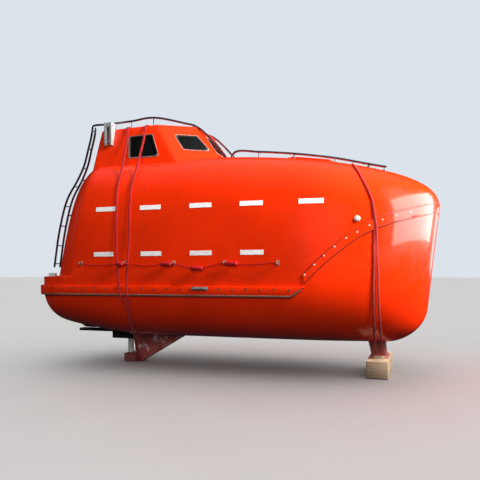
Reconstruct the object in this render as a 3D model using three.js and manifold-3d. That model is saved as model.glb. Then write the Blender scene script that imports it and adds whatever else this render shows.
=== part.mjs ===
// Totally enclosed free-fall lifeboat, 5.9 m long, standing on two low rests.
// Millimetres. X runs forward, Y to port, Z up. Pieces are drawn with Z = 0 at the flat of the
// bottom, and the whole boat is then lifted so that Z = 0 is the ground that it stands on.
import * as THREE from 'three';
import { mergeVertices } from 'three/addons/utils/BufferGeometryUtils.js';
import Module from 'manifold-3d';

const wasm = await Module();
wasm.setup();

// Driving dimensions of the shell
const halfBeam = 1210;        // at the rub rail
const wall = 50;              // laminate with its foam and inner liner
const gap = 0.3;              // clearance between pieces that touch
const groundDepth = 460;      // the ground below the flat of the bottom
const railLevel = 760;        // widest level of the hull amidships
const bowRailLevel = 1350;    // widest level at the stem
const deckLevel = 2685;       // crown of the canopy amidships
const bowDeckLevel = 1790;    // crown of the canopy at the stem
const platformLevel = 920;    // stern platform
const canopyAft = -2620;      // foot of the canopy's aft wall
const platformLength = 285;   // how far the hull runs on behind that wall
const aftLean = 0.195;        // the aft wall leans forward, run over rise
const stemEnd = 2790;         // where the stem crosses its level of no lean
const stemLean = 0.1127;      // the stem leans forward, run over rise
const stemLeanLevel = 450;

// Small functions for curves
const clamp01 = (t) => Math.min(1, Math.max(0, t));
const smooth = (t) => clamp01(t) ** 2 * (3 - 2 * clamp01(t));
const mix = (a, b, t) => a + (b - a) * t;
const roundOff = (t) => 1 - Math.sqrt(Math.max(0, 1 - clamp01(t) ** 2));
const power = (t, e) => Math.max(0, t) ** e;

// Solids: a closed THREE geometry becomes a manifold, and comes back after the cuts
function solid(geometry) {
  const bare = geometry.index ? geometry.toNonIndexed() : geometry.clone();
  bare.deleteAttribute('normal');
  bare.deleteAttribute('uv');
  const merged = mergeVertices(bare, 1e-3);
  const keep = [];
  const index = merged.index.array;
  for (let i = 0; i < index.length; i += 3) {
    const [a, b, c] = [index[i], index[i + 1], index[i + 2]];
    if (a !== b && b !== c && c !== a) keep.push(a, b, c);
  }
  return new wasm.Manifold(new wasm.Mesh({
    numProp: 3,
    vertProperties: Float32Array.from(merged.attributes.position.array),
    triVerts: Uint32Array.from(keep),
  }));
}

function geometryOf(manifold) {
  const mesh = manifold.getMesh();
  const geometry = new THREE.BufferGeometry();
  const points = new Float32Array(mesh.numVert * 3);
  for (let i = 0; i < mesh.numVert; i += 1) {
    for (let k = 0; k < 3; k += 1) points[3 * i + k] = mesh.vertProperties[i * mesh.numProp + k];
  }
  geometry.setAttribute('position', new THREE.BufferAttribute(points, 3));
  geometry.setIndex(new THREE.BufferAttribute(Uint32Array.from(mesh.triVerts), 1));
  return geometry;
}

const union = (list) => list.reduce((a, b) => a.add(b));

function placed(geometry, x, y, z) {
  geometry.translate(x, y, z);
  return geometry;
}

function block(x0, x1, y0, y1, z0, z1) {
  const geometry = new THREE.BoxGeometry(x1 - x0, y1 - y0, z1 - z0);
  return solid(placed(geometry, (x0 + x1) / 2, (y0 + y1) / 2, (z0 + z1) / 2));
}

// A side view outline, [x, z] points, carried across the boat from y0 to y1
function sidePrism(outline, y0, y1) {
  const shape = new THREE.Shape(outline.map(([x, z]) => new THREE.Vector2(x, z)));
  const geometry = new THREE.ExtrudeGeometry(shape, { depth: y1 - y0, bevelEnabled: false });
  geometry.rotateX(Math.PI / 2);
  return solid(placed(geometry, 0, y1, 0));
}

// Rings of [x, y, z] points, each ring closed, joined into a skin with flat fans on both ends
function ringLoft(rings) {
  const count = rings[0].length;
  const points = rings.flat();
  const faces = [];
  for (let r = 0; r + 1 < rings.length; r += 1) {
    for (let i = 0; i < count; i += 1) {
      const [a, b] = [r * count + i, r * count + ((i + 1) % count)];
      faces.push(a, b, a + count, b, b + count, a + count);
    }
  }
  const last = (rings.length - 1) * count;
  for (let i = 1; i + 1 < count; i += 1) {
    faces.push(0, i + 1, i);
    faces.push(last, last + i, last + i + 1);
  }
  return facesToSolid(points, faces);
}

function facesToSolid(points, faces) {
  const geometry = new THREE.BufferGeometry();
  geometry.setAttribute('position', new THREE.Float32BufferAttribute(points.flat(), 3));
  geometry.setIndex(faces);
  return solid(geometry);
}

// A round bar through [x, y, z] points
function bar(points, radius, steps = 1, sides = 8) {
  const route = new THREE.CatmullRomCurve3(points.map(([x, y, z]) => new THREE.Vector3(x, y, z)));
  const section = new THREE.Shape();
  section.absarc(0, 0, radius, 0, 2 * Math.PI);
  return solid(new THREE.ExtrudeGeometry(section, {
    curveSegments: sides / 2, steps, bevelEnabled: false, extrudePath: route,
  }));
}

function cylinder(radius, length, sides, axis, x, y, z) {
  const geometry = new THREE.CylinderGeometry(radius, radius, length, sides);
  if (axis === 'x') geometry.rotateZ(Math.PI / 2);
  if (axis === 'z') geometry.rotateX(Math.PI / 2);
  return solid(placed(geometry, x, y, z));
}

// The moulded shell. s is the station along the boat and d the distance inside the outer face
const stemStation = (d) => stemEnd - d;
const aftStation = (d) => canopyAft + d;

function planHalf(s, d) {
  const bow = clamp01((s - 980) / (stemStation(d) - 980));
  const forward = power(1 - bow ** 2.4, 1 / 1.9);
  const sternTaper = 90 * clamp01((-1500 - s) / 1450) ** 2;
  const cornerRadius = 450;
  const corner = cornerRadius * roundOff((aftStation(d) + cornerRadius - s) / cornerRadius);
  return (halfBeam - sternTaper - d) * forward - corner;
}

function crown(s, d) {
  const run = clamp01((s + 500) / (stemStation(d) + 500));
  const rise = power(1 - run ** 1.8, 1 / 2.6);
  const aftRound = 420 * roundOff((aftStation(d) + 380 - s) / 380);
  return mix(bowDeckLevel, deckLevel - d, rise) - aftRound;
}

function bottom(s, d) {
  const bowRise = 470 * roundOff((s - 2250) / (stemStation(d) - 2250));
  const sternRise = 330 * clamp01((-1500 - s) / 1450) ** 1.5;
  const transomRound = 200 * roundOff((aftStation(d) + 180 - s) / 180);
  return bowRise + sternRise + transomRound + d;
}

const widest = (s) => mix(railLevel, bowRailLevel, smooth((s - 900) / 1890));
const bowBlend = (s) => smooth((s - 1300) / 1490);

// How full the section is: exponents across and up of its lower and of its upper half
const lowerShape = (s) => [mix(2.5, 2.0, bowBlend(s)), mix(2.2, 2.0, bowBlend(s))];
const upperShape = (s) => [mix(4.0, 2.6, bowBlend(s)), mix(4.0, 2.6, bowBlend(s))];

// How far a point of station s slides along the boat at level z
function slide(s, z, d) {
  const stem = stemLean * (z - stemLeanLevel) * smooth((s - 1300) / 1490);
  const shelf = platformLevel - d + 8;
  const hullRun = z < shelf ? -platformLength * smooth((-1700 - s) / (-1700 - canopyAft)) : 0;
  const wallRun = z > shelf ? aftLean * (z - shelf) * smooth((-900 - s) / 1700) : 0;
  return stem + hullRun + wallRun;
}

const lowerPoints = 9;
const upperPoints = 9;

// Half a section, from the keel up to the crown, as [y, z] with y positive
function halfSection(s, d) {
  const breadth = Math.max(0, planHalf(s, d));
  const [low, mid, high] = [bottom(s, d), widest(s), crown(s, d)];
  const [[lowFull, lowDeep], [topFull, topHigh]] = [lowerShape(s), upperShape(s)];
  const half = [];
  for (let i = 0; i <= lowerPoints; i += 1) {
    const turn = (i / lowerPoints) * Math.PI / 2;
    half.push([
      breadth * power(Math.sin(turn), 2 / lowFull),
      mid - (mid - low) * power(Math.cos(turn), 2 / lowDeep),
    ]);
  }
  const shelfStep = Math.min(platformLevel - d - railLevel, 0.12 * (high - mid));
  for (const z of [mid + shelfStep, mid + shelfStep + 15]) {
    half.push([breadth * power(1 - ((z - mid) / (high - mid)) ** topHigh, 1 / topFull), z]);
  }
  for (let i = 1; i <= upperPoints; i += 1) {
    const turn = (i / upperPoints) * Math.PI / 2;
    half.push([
      breadth * power(Math.cos(turn), 2 / topFull),
      mid + (high - mid) * power(Math.sin(turn), 2 / topHigh),
    ]);
  }
  half[0][0] = 0;
  half[half.length - 1][0] = 0;
  return half;
}

function stations(d) {
  const [aft, fore] = [aftStation(d), stemStation(d)];
  const aftSteps = [0, 0.04, 0.15, 0.35, 0.65, 1].map((t) => aft + 380 * t);
  const middle = [-1900, -1500, -1000, -300, 500, 980, 1300, 1600, 1900];
  const foreSteps = [0, 0.28, 0.52, 0.72, 0.86, 0.95, 0.99, 1].map((t) => mix(2150, fore, t));
  return [...aftSteps, ...middle, ...foreSteps];
}

// The body of the boat as one closed skin, d inside (or outside, when negative) its outer face.
// Strips between the two sides close the aft end, so the wall, the platform and the transom are flat.
function bodySkin(d) {
  const points = [];
  const faces = [];
  const list = stations(d);
  const halves = list.map((s) => halfSection(s, d).map(([y, z]) => [s + slide(s, z, d), y, z]));
  const count = halves[0].length;
  const at = (station, i, side) => (station * count + i) * 2 + side;
  for (const half of halves) {
    for (const [x, y, z] of half) points.push([x, -y, z], [x, y, z]);
  }
  for (let r = 0; r + 1 < list.length; r += 1) {
    for (let i = 0; i + 1 < count; i += 1) {
      const [a, b, c, e] = [at(r, i, 0), at(r + 1, i, 0), at(r + 1, i + 1, 0), at(r, i + 1, 0)];
      faces.push(a, b, c, a, c, e);
      const [p, q, u, v] = [a + 1, b + 1, c + 1, e + 1];
      faces.push(p, u, q, p, v, u);
    }
  }
  for (let i = 0; i + 1 < count; i += 1) {
    const [a, b, c, e] = [at(0, i, 0), at(0, i + 1, 0), at(0, i + 1, 1), at(0, i, 1)];
    faces.push(a, b, c, a, c, e);
  }
  return facesToSolid(points, faces);
}

const body = bodySkin(0);
const bodyRoom = bodySkin(wall);
const bodyTouch = bodySkin(-gap);
const shell = body.subtract(bodyRoom);

// The joint between hull and canopy, seen from the side: [x, z], from the stern to over the stem
const seam = [
  [-3200, 725], [1130, 725], [1305, 905], [1463, 1070], [1659, 1245], [1854, 1400],
  [2008, 1510], [2190, 1605], [2410, 1685], [2683, 1765], [2920, 1850], [3200, 1900],
];
const seamAt = (dz) => seam.map(([x, z]) => [x, z + dz]);

const belowSeam = sidePrism([[-3200, -700], [3200, -700], ...seamAt(-gap / 2).reverse()], -1500, 1500);
const aboveSeam = sidePrism([...seamAt(gap / 2), [3200, 3600], [-3200, 3600]], -1500, 1500);

// Wheelhouse corners of one side, from aft to the front: [x, y, z] at the roof and at the foot
const houseTop = [[-1997, 660, 3175], [-1060, 660, 3200], [-535, 330, 3202]];
const houseBase = [[-2060, 800, 2600], [-670, 800, 2600], [-100, 400, 2600]];
const houseWall = 40;
const houseRise = 590;
const houseFoot = 1.75;       // how far the walls run on down inside the canopy, 1 being the foot

// One ring of the wheelhouse, t down its walls from the roof, moved d inside its faces
function houseRing(t, d) {
  const side = houseTop.map((top, i) => top.map((value, k) => mix(value, houseBase[i][k], t)));
  const outline = [...side.map(([x, y, z]) => [x, -y, z]), ...side.slice().reverse()];
  return outline.map((p, i) => {
    const before = outline[(i + outline.length - 1) % outline.length];
    const after = outline[(i + 1) % outline.length];
    return [...insetCorner(before, p, after, d), p[2]];
  });
}

// The corner p of an outline that runs anticlockwise, with both its edges moved d to the left
function insetCorner(before, p, after, d) {
  const into = (a, b) => {
    const [dx, dy] = [b[0] - a[0], b[1] - a[1]];
    const size = Math.hypot(dx, dy);
    return [-dy / size, dx / size];
  };
  const [n, m] = [into(before, p), into(p, after)];
  const scale = d / (1 + n[0] * m[0] + n[1] * m[1]);
  return [p[0] + (n[0] + m[0]) * scale, p[1] + (n[1] + m[1]) * scale];
}

const houseSolid = (d) => ringLoft([houseRing(houseFoot, d), houseRing(d / houseRise, d)]);
const houseRoom = houseSolid(houseWall);
const houseTouch = houseSolid(-gap);

// Windows: the face is [corner, corner] of the wheelhouse outline, v runs down it from the roof, and
// head and sill run along it at the window's upper and lower edge
const windows = [
  { name: 'side_window_starboard', face: [0, 1], head: [0.495, 0.851], sill: [0.460, 0.817], v: [0.27, 0.83] },
  { name: 'quarter_window_starboard', face: [1, 2], head: [0.31, 0.815], sill: [0.31, 0.89], v: [0.28, 0.67] },
  { name: 'front_window', face: [2, 3], head: [0.14, 0.86], sill: [0.14, 0.86], v: [0.25, 0.68] },
  { name: 'quarter_window_port', face: [3, 4], head: [0.185, 0.69], sill: [0.11, 0.69], v: [0.28, 0.67] },
  { name: 'side_window_port', face: [4, 5], head: [0.149, 0.505], sill: [0.183, 0.540], v: [0.27, 0.83] },
];

// A slab in a wheelhouse face, from depth `out` (negative is outside) to depth `into`
function windowSlab({ face, head, sill, v }, margin, out, into) {
  const [top, base] = [houseRing(0, 0), houseRing(1, 0)];
  const corner = (a, b) => {
    const along = (ring) => new THREE.Vector3(...ring[face[0]]).lerp(new THREE.Vector3(...ring[face[1]]), a);
    return along(top).lerp(along(base), b);
  };
  const quad = [corner(head[0], v[0]), corner(head[1], v[0]), corner(sill[1], v[1]), corner(sill[0], v[1])];
  const middle = quad.reduce((sum, p) => sum.add(p), new THREE.Vector3()).divideScalar(4);
  const normal = new THREE.Vector3().subVectors(quad[1], quad[0])
    .cross(new THREE.Vector3().subVectors(quad[3], quad[0])).normalize();
  if (normal.dot(new THREE.Vector3(middle.x + 1300, middle.y, 0)) < 0) normal.negate();
  const ring = (depth) => quad.map((p) => {
    const shrunk = p.clone().sub(middle);
    shrunk.multiplyScalar(1 - margin / shrunk.length()).add(middle);
    return shrunk.addScaledVector(normal, -depth).toArray();
  });
  const slab = ringLoft([ring(out), ring(into)]);
  return slab.volume() > 0 ? slab : ringLoft([ring(into), ring(out)]);
}

// Aft door: drawn flat in its wall, then leaned with the wall about its foot
const wallAngle = Math.atan(aftLean);
const wallFoot = [canopyAft, 0, platformLevel + 15];
function onAftWall(geometry) {
  geometry.rotateY(wallAngle);
  return solid(placed(geometry, ...wallFoot));
}
function wallBlock(out, into, y0, y1, z0, z1) {
  return onAftWall(placed(new THREE.BoxGeometry(out + into, y1 - y0, z1 - z0),
    (into - out) / 2, (y0 + y1) / 2, (z0 + z1) / 2));
}
const door = { half: 310, low: 110, high: 1190 };

// Fore hatch: x and deck place its middle, pin is [x, z] in the tipped frame
const hatch = { x: 1200, deck: 2568, half: 280, rim: 35, rise: 25, lid: 20, pin: [-338, 42] };

const parts = [];
const add = (name, material, made) => parts.push({ name, material, made });

const finish = {
  orange: new THREE.MeshStandardMaterial({ color: 0xe8380a, roughness: 0.28, metalness: 0 }),
  glass: new THREE.MeshStandardMaterial({ color: 0x15181a, roughness: 0.08, metalness: 0 }),
  steel: new THREE.MeshStandardMaterial({ color: 0x9a9da0, roughness: 0.35, metalness: 1 }),
  galvanised: new THREE.MeshStandardMaterial({ color: 0x8c9290, roughness: 0.6, metalness: 0.8 }),
  black: new THREE.MeshStandardMaterial({ color: 0x151515, roughness: 0.7, metalness: 0 }),
  bronze: new THREE.MeshStandardMaterial({ color: 0xa87a3a, roughness: 0.35, metalness: 1 }),
  restSteel: new THREE.MeshStandardMaterial({ color: 0x7d4038, roughness: 0.8, metalness: 0.2 }),
  timber: new THREE.MeshStandardMaterial({ color: 0x6b4a30, roughness: 0.9, metalness: 0 }),
  seat: new THREE.MeshStandardMaterial({ color: 0xd9862a, roughness: 0.6, metalness: 0 }),
  liner: new THREE.MeshStandardMaterial({ color: 0xd8d6cc, roughness: 0.6, metalness: 0 }),
  red: new THREE.MeshStandardMaterial({ color: 0xb01010, roughness: 0.8, metalness: 0 }),
};

// Tunnel under the stern for the propeller and its nozzle
const shaftLevel = 315;
const tunnelRadius = 330;
const nozzle = { x: -2560, half: 140, outer: 252, inner: 222, stock: 24 };
const stockHole = 29;
function tunnelCut() {
  const arch = cylinder(tunnelRadius, 1000, 24, 'x', -2600, 0, shaftLevel);
  return arch.add(block(-3100, -2100, -tunnelRadius, tunnelRadius, -300, shaftLevel));
}
function tunnelLining() {
  const radius = tunnelRadius + wall;
  const arch = cylinder(radius, 950 + wall, 24, 'x', -2550, 0, shaftLevel);
  return arch.add(block(-3050, -2050, -radius, radius, -200, shaftLevel)).intersect(body);
}

function hull() {
  const moulding = shell.intersect(belowSeam).add(tunnelLining()).subtract(tunnelCut());
  return moulding.subtract(cylinder(stockHole, 300, 16, 'z', nozzle.x, 0, shaftLevel + tunnelRadius));
}

function canopy() {
  return shell.intersect(aboveSeam)
    .subtract(houseRoom)
    .subtract(wallBlock(200, 300, -door.half - gap, door.half + gap, door.low - gap, door.high + gap))
    .subtract(square(hatchRim + gap, -300, 300));
}

function wheelhouse() {
  const cuts = windows.map((w) => windowSlab(w, 0, -60, 120));
  return houseSolid(0).subtract(houseRoom).subtract(bodyTouch).subtract(union(cuts));
}

const pane = (w) => windowSlab(w, 3, 12, 22);

const fenderDepth = 35;
const fender = [[-3200, 660], [1130, 660], [1290, 778], [1290, 792], [-3200, 792]];
const sternEnd = canopyAft - platformLength - 19;
const rubRail = () => bodySkin(-fenderDepth).intersect(sidePrism(fender, -1500, 1500)).subtract(bodyTouch)
  .subtract(block(-3300, sternEnd, -1500, 1500, 500, 1000));

const flangeDepth = 14;
function seamFlange() {
  const run = seam.slice(2).map(([x, z]) => [x, z]);
  const upper = run.map(([x, z]) => [x, z + 65]);
  const lower = run.map(([x, z]) => [x, z - 65]).reverse();
  const band = sidePrism([...upper, ...lower], -1500, 1500);
  const start = block(1291, 3300, -1500, 1500, 0, 3000);
  return bodySkin(-flangeDepth).intersect(band).intersect(start).subtract(bodyTouch);
}

// The aft door in its raised frame. Knuckles lie on one pin line outside the port jamb
const hingeLine = { out: 34, y: 331, radius: 12 };
const knuckles = [{ low: 330, own: 'door' }, { low: 395, own: 'frame' }, { low: 900, own: 'door' },
  { low: 965, own: 'frame' }];
const knuckleLength = 60;
function knuckle(low) {
  const pin = new THREE.CylinderGeometry(hingeLine.radius, hingeLine.radius, knuckleLength, 12);
  pin.rotateX(Math.PI / 2);
  return onAftWall(placed(pin, -hingeLine.out, hingeLine.y, low + knuckleLength / 2));
}
function aftDoor() {
  const leaf = wallBlock(22, 32, -door.half + 7, door.half - 7, door.low + 7, door.high - 7);
  const handle = wallBlock(60, -20, -250, -222, 560, 800);
  const straps = knuckles.filter((k) => k.own === 'door').flatMap((k) => [
    wallBlock(hingeLine.out + 4, -21, 150, hingeLine.y, k.low + 10, k.low + knuckleLength - 10),
    knuckle(k.low),
  ]);
  return union([leaf, handle, ...straps]);
}
function doorFrame() {
  const ring = wallBlock(16, -gap, -door.half - 45, door.half + 45, door.low - 45, door.high + 45)
    .subtract(wallBlock(40, 40, -door.half, door.half, door.low, door.high));
  const feet = knuckles.filter((k) => k.own === 'frame').flatMap((k) => [
    wallBlock(hingeLine.out, -15, hingeLine.y - 9, hingeLine.y + 9, k.low, k.low + knuckleLength),
    knuckle(k.low),
  ]);
  return union([ring, ...feet]).subtract(bodyTouch);
}

// The fore hatch lies on the sloping foredeck, drawn flat and then tipped with the deck
const hatchAngle = 0.142;
const hatchPlace = [hatch.x, 0, hatch.deck];
function hatchBlock(x0, x1, y0, y1, z0, z1) {
  const geometry = placed(new THREE.BoxGeometry(x1 - x0, y1 - y0, z1 - z0),
    (x0 + x1) / 2, (y0 + y1) / 2, (z0 + z1) / 2);
  geometry.rotateY(hatchAngle);
  return solid(placed(geometry, ...hatchPlace));
}
const square = (half, z0, z1) => hatchBlock(-half, half, -half, half, z0, z1);
const hatchRim = hatch.half + hatch.rim;
function hatchKnuckle(y) {
  const pin = new THREE.CylinderGeometry(10, 10, 50, 12);
  placed(pin, hatch.pin[0], y, hatch.pin[1]).rotateY(hatchAngle);
  return solid(placed(pin, ...hatchPlace));
}
function hatchCoaming() {
  const ring = square(hatchRim, -70, hatch.rise).subtract(square(hatch.half, -100, 100));
  const feet = [-215, 215].flatMap((y) => [
    hatchBlock(hatch.pin[0] - 8, -hatchRim + 1, y - 25, y + 25, hatch.rise - 16, hatch.pin[1]),
    hatchKnuckle(y),
  ]);
  return union([ring, ...feet]);
}
function hatchLid() {
  const low = hatch.rise + 5;
  const plate = square(hatchRim - 8, low, low + hatch.lid);
  const crownPlate = square(hatchRim - 60, low + hatch.lid - 1, low + hatch.lid + 12);
  const ears = [-155, 155].flatMap((y) => [
    hatchBlock(hatch.pin[0], -hatchRim + 10, y - 25, y + 25, low + 2, low + 20),
    hatchKnuckle(y),
  ]);
  return union([plate, crownPlate, ...ears]);
}

// Half breadth of the outer face at station s and level z, above the widest level
function breadthAt(s, z) {
  const [mid, high] = [widest(s), crown(s, 0)];
  const [topFull, topHigh] = upperShape(s);
  return planHalf(s, 0) * power(1 - ((z - mid) / (high - mid)) ** topHigh, 1 / topFull);
}

const mirrored = (points) => points.map(([x, y, z]) => [x, -y, z]);
const sides = [{ name: 'starboard', sign: -1 }, { name: 'port', sign: 1 }];
const onSide = (points, sign) => (sign < 0 ? mirrored(points) : points);
const across = (sign, a, b) => (sign < 0 ? [-b, -a] : [a, b]);

// Rails, drawn for port as [x, y, z]
const railRadius = 13;
const sternRailRoute = [[-2800, 745, 1065], [-2712, 725, 1670], [-2592, 700, 2130], [-2415, 680, 2430],
  [-2310, 665, 2650], [-2245, 650, 2900], [-2200, 640, 3080], [-2178, 628, 3240]];
const sternRailGap = [105, 105, 100, 85, 70, 62, 60, 60];
const sternRailHead = [[-2180, 628, 3235], [-2168, 625, 3270], [-2130, 620, 3283], [-1996, 612, 3282]];
const sternRailFeet = [0.06, 0.36, 0.62];
function sternRail(sign) {
  const outer = onSide(sternRailRoute, sign);
  const inner = outer.map(([x, y, z], i) => [x + sternRailGap[i], y, z]);
  const [route, nearRoute] = [outer, inner].map((run) =>
    new THREE.CatmullRomCurve3(run.map((p) => new THREE.Vector3(...p))));
  const rungs = [0.02, 0.15, 0.29, 0.43, 0.57, 0.71, 0.85, 0.98].map((t) => {
    const [p, q] = [route.getPointAt(t), nearRoute.getPointAt(t)];
    return bar([p.toArray(), q.toArray()], 8);
  });
  const feet = sternRailFeet.map((t) => {
    const p = nearRoute.getPointAt(t);
    return bar([p.toArray(), [p.x + 360, p.y - sign * 40, p.z]], 10);
  });
  return union([bar(outer, railRadius, 10), bar(inner, railRadius, 10), ...rungs, ...feet,
    bar(onSide(sternRailHead, sign), railRadius, 4)])
    .subtract(bodyTouch).subtract(houseTouch);
}

const roofRailRoute = [[-1980, 600, 3282], [-1500, 600, 3298], [-1130, 600, 3326], [-600, 325, 3232]];
const roofRailFoot = [[-600, 325, 3232], [-465, 332, 3145], [-115, 348, 2760], [-50, 350, 2600]];
function roofRail(sign) {
  const run = onSide(roofRailRoute, sign);
  const foot = onSide(roofRailFoot, sign);
  const posts = [run[0], run[1], run[2], run[3]].map(([x, y, z]) =>
    bar([[x, y, z], [x, y, 3060]], 10));
  return union([bar(run, railRadius, 8), bar(foot, railRadius, 5), ...posts])
    .subtract(houseTouch).subtract(bodyTouch);
}

const deckRailRoute = [[40, 450, 2640], [120, 450, 2745], [480, 450, 2722], [1000, 450, 2660],
  [1580, 450, 2560], [2030, 450, 2450], [2262, 450, 2395]];
const deckRailPosts = [[480, 2722], [1000, 2660], [1580, 2560], [2030, 2450], [2240, 2400]];
function deckRail(sign) {
  const posts = deckRailPosts.map(([x, z]) =>
    bar([[x, sign * 450, z], [x, sign * 450, z - 260]], 10));
  return union([bar(onSide(deckRailRoute, sign), railRadius, 12), ...posts]).subtract(bodyTouch);
}

// Channel that takes the hoisting wire, on the upper aft corner of the wheelhouse
function liftBracket(sign) {
  const [near, web, far] = [640, 668, 775];
  const whole = block(-1885, -1755, ...across(sign, near, far), 2915, 3263);
  const channel = block(-1872, -1768, ...across(sign, web, 900), 2900, 3300);
  return whole.subtract(channel).subtract(houseTouch);
}

// Round eye plate on the bow side for the hoisting wire
const boss = { x: 1948, s: 1890, z: 1654, radius: 36 };
function bowBoss(sign) {
  const y = breadthAt(boss.s, boss.z);
  const geometry = new THREE.CylinderGeometry(boss.radius, boss.radius, 80, 24);
  return solid(placed(geometry, boss.x, sign * (y - 5), boss.z)).subtract(bodyTouch);
}

const cleatFace = halfBeam + fenderDepth + 1;
function cleat(sign) {
  const base = block(-235, 0, ...across(sign, cleatFace, cleatFace + 10), 738, 782);
  const posts = [-175, -60].map((x) => block(x - 12, x + 12,
    ...across(sign, cleatFace + 9, cleatFace + 40), 748, 772));
  const horn = block(-225, -10, ...across(sign, cleatFace + 30, cleatFace + 52), 750, 770);
  return union([base, ...posts, horn]);
}

// Under water
const restTop = -326;
const skegOutline = [[-850, 120], [-850, 0], [-1612, -445], [-1688, -445], [-1688, restTop + gap],
  [-1742, restTop + gap], [-1752, -100], [-1860, 120]];
const skeg = () => sidePrism(skegOutline, -60, 60).subtract(bodyTouch);

const fairingOutline = [[-2320, 265], [-2250, 45], [-2180, 45], [-2180, -100], [-1812, -100], [-1872, 120],
  [-1880, 200], [-2060, 530], [-2120, 365], [-2320, 365]];
const guardOutline = [[-2800, 8], [-2160, 8], [-2100, 20], [-2100, 52], [-2800, 52]];
function shaftFairing() {
  const web = sidePrism(fairingOutline, -45, 45);
  const guard = sidePrism(guardOutline, -70, 70);
  return web.add(guard).subtract(bodyTouch.subtract(tunnelCut()));
}

function steeringNozzle() {
  const profile = [[nozzle.inner, -nozzle.half], [nozzle.outer - 12, -nozzle.half],
    [nozzle.outer, 0], [nozzle.outer - 4, nozzle.half - 20], [nozzle.outer - 16, nozzle.half],
    [nozzle.inner, nozzle.half]];
  const ring = new THREE.LatheGeometry([...profile, profile[0]].map(([r, x]) => new THREE.Vector2(r, x)), 40);
  ring.rotateZ(-Math.PI / 2);
  const stockFoot = shaftLevel + nozzle.outer - 14;
  const stock = cylinder(nozzle.stock, 180, 16, 'z', nozzle.x, 0, stockFoot + 90);
  return solid(placed(ring, nozzle.x, 0, shaftLevel)).add(stock);
}

const blade = { count: 3, tip: 203, root: 30, chord: 120, thick: 12, pitch: 0.62 };
function propeller() {
  const hub = cylinder(38, 130, 24, 'x', nozzle.x, 0, shaftLevel);
  const shaft = cylinder(20, 180, 16, 'x', nozzle.x + 140, 0, shaftLevel);
  const blades = [...Array(blade.count).keys()].map((i) => {
    const outline = new THREE.Shape();
    outline.moveTo(-22, blade.root);
    outline.quadraticCurveTo(-75, 120, -48, 175);
    outline.quadraticCurveTo(0, 2 * blade.tip - 190, 48, 175);
    outline.quadraticCurveTo(75, 120, 22, blade.root);
    const plate = new THREE.ExtrudeGeometry(outline, { depth: blade.thick, bevelEnabled: false, curveSegments: 6 });
    placed(plate, 0, 0, -blade.thick / 2).rotateY(Math.PI / 2 + blade.pitch);
    plate.rotateX((2 * Math.PI * i) / blade.count + Math.PI / 2);
    return solid(placed(plate, nozzle.x, 0, shaftLevel));
  });
  return union([hub, shaft, ...blades]);
}

// What the boat stands on
const sternRest = () => block(-1900, -1690, -150, 150, -groundDepth, restTop);
const sternProp = () => block(-1897, -1813, -25, 25, restTop + gap, -100 - gap);
const lug = { x: 2155, y: 272, z: -165 };
const bowLegOutline = [[1968, 120], [2209, 120], [2246, -200], [2039, -200]];
function bowRest() {
  const leg = sidePrism(bowLegOutline, -110, 110).subtract(bodyTouch);
  return leg.add(block(2015, 2268, -240, 240, -216, -199.5));
}
function bowSleeper() {
  const { x, y, z } = lug;
  return union([block(2000, 2290, -520, 520, -groundDepth, -216.5), ...sides.map(({ sign }) =>
    block(x - 70, x + 70, ...across(sign, y - 18, y + 18), -230, z - 12))]);
}

// Inside, as far as glass, door and hatch show it
const soleLevel = 380;
const roomTouch = bodySkin(wall + 2);
const sole = () => roomTouch.intersect(block(-2000, 2450, -1200, 1200, soleLevel - 30, soleLevel));
const seatRows = [1750, 1150, 550, -50, -650];
function seatBank(sign) {
  const plinth = block(-900, 1800, ...across(sign, 230, 760), soleLevel + gap, soleLevel + 120);
  const rows = seatRows.flatMap((x) => [
    sidePrism([[x - 200, 450], [x, 450], [x, 800], [x - 200, 760]], ...across(sign, 170, 880)),
    sidePrism([[x - 40, 500], [x + 40, 500], [x + 230, 1420], [x + 150, 1430]], ...across(sign, 170, 880)),
  ]);
  return union([plinth, ...rows]).intersect(roomTouch);
}
function helmPlatform() {
  const top = block(-1950, -1080, -430, 430, 1060, 1100);
  const walls = [-430, 400].map((y) => block(-1950, -1080, y, y + 30, soleLevel + gap, 1070));
  return union([top, ...walls]);
}
function helmSeat() {
  return union([
    block(-1560, -1440, -60, 60, 1100 + gap, 1900),
    block(-1730, -1290, -230, 230, 1880, 1960),
    sidePrism([[-1740, 1900], [-1670, 1900], [-1760, 2720], [-1820, 2720]], -230, 230),
  ]);
}
function helmConsole() {
  const post = block(-940, -840, -150, 150, soleLevel + gap, 2200);
  const desk = sidePrism([[-1000, 2180], [-640, 2180], [-640, 2480], [-760, 2520], [-1000, 2330]], -330, 330);
  return post.add(desk);
}
function steeringWheel() {
  const rim = new THREE.TorusGeometry(170, 13, 6, 20);
  const spokes = [0, 1, 2].map((i) => {
    const spoke = new THREE.BoxGeometry(170, 22, 10);
    placed(spoke, 85, 0, 0).rotateZ((2 * Math.PI * i) / 3);
    return spoke;
  });
  const hub = new THREE.CylinderGeometry(24, 24, 90, 16);
  placed(hub.rotateX(Math.PI / 2), 0, 0, 34);
  const pieces = [rim, ...spokes, hub].map((geometry) => {
    geometry.rotateY(Math.PI / 2 + 0.35);
    return solid(placed(geometry, -1092, 0, 2270));
  });
  return union(pieces).subtract(helmConsoleTouch);
}
const helmConsoleTouch = sidePrism([[-1000.5, 2170], [-630, 2170], [-630, 2490], [-760, 2530],
  [-1000.5, 2335]], -340, 340);
const engine = () => block(-1900, -1150, -260, 260, soleLevel + gap, 960);

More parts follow.
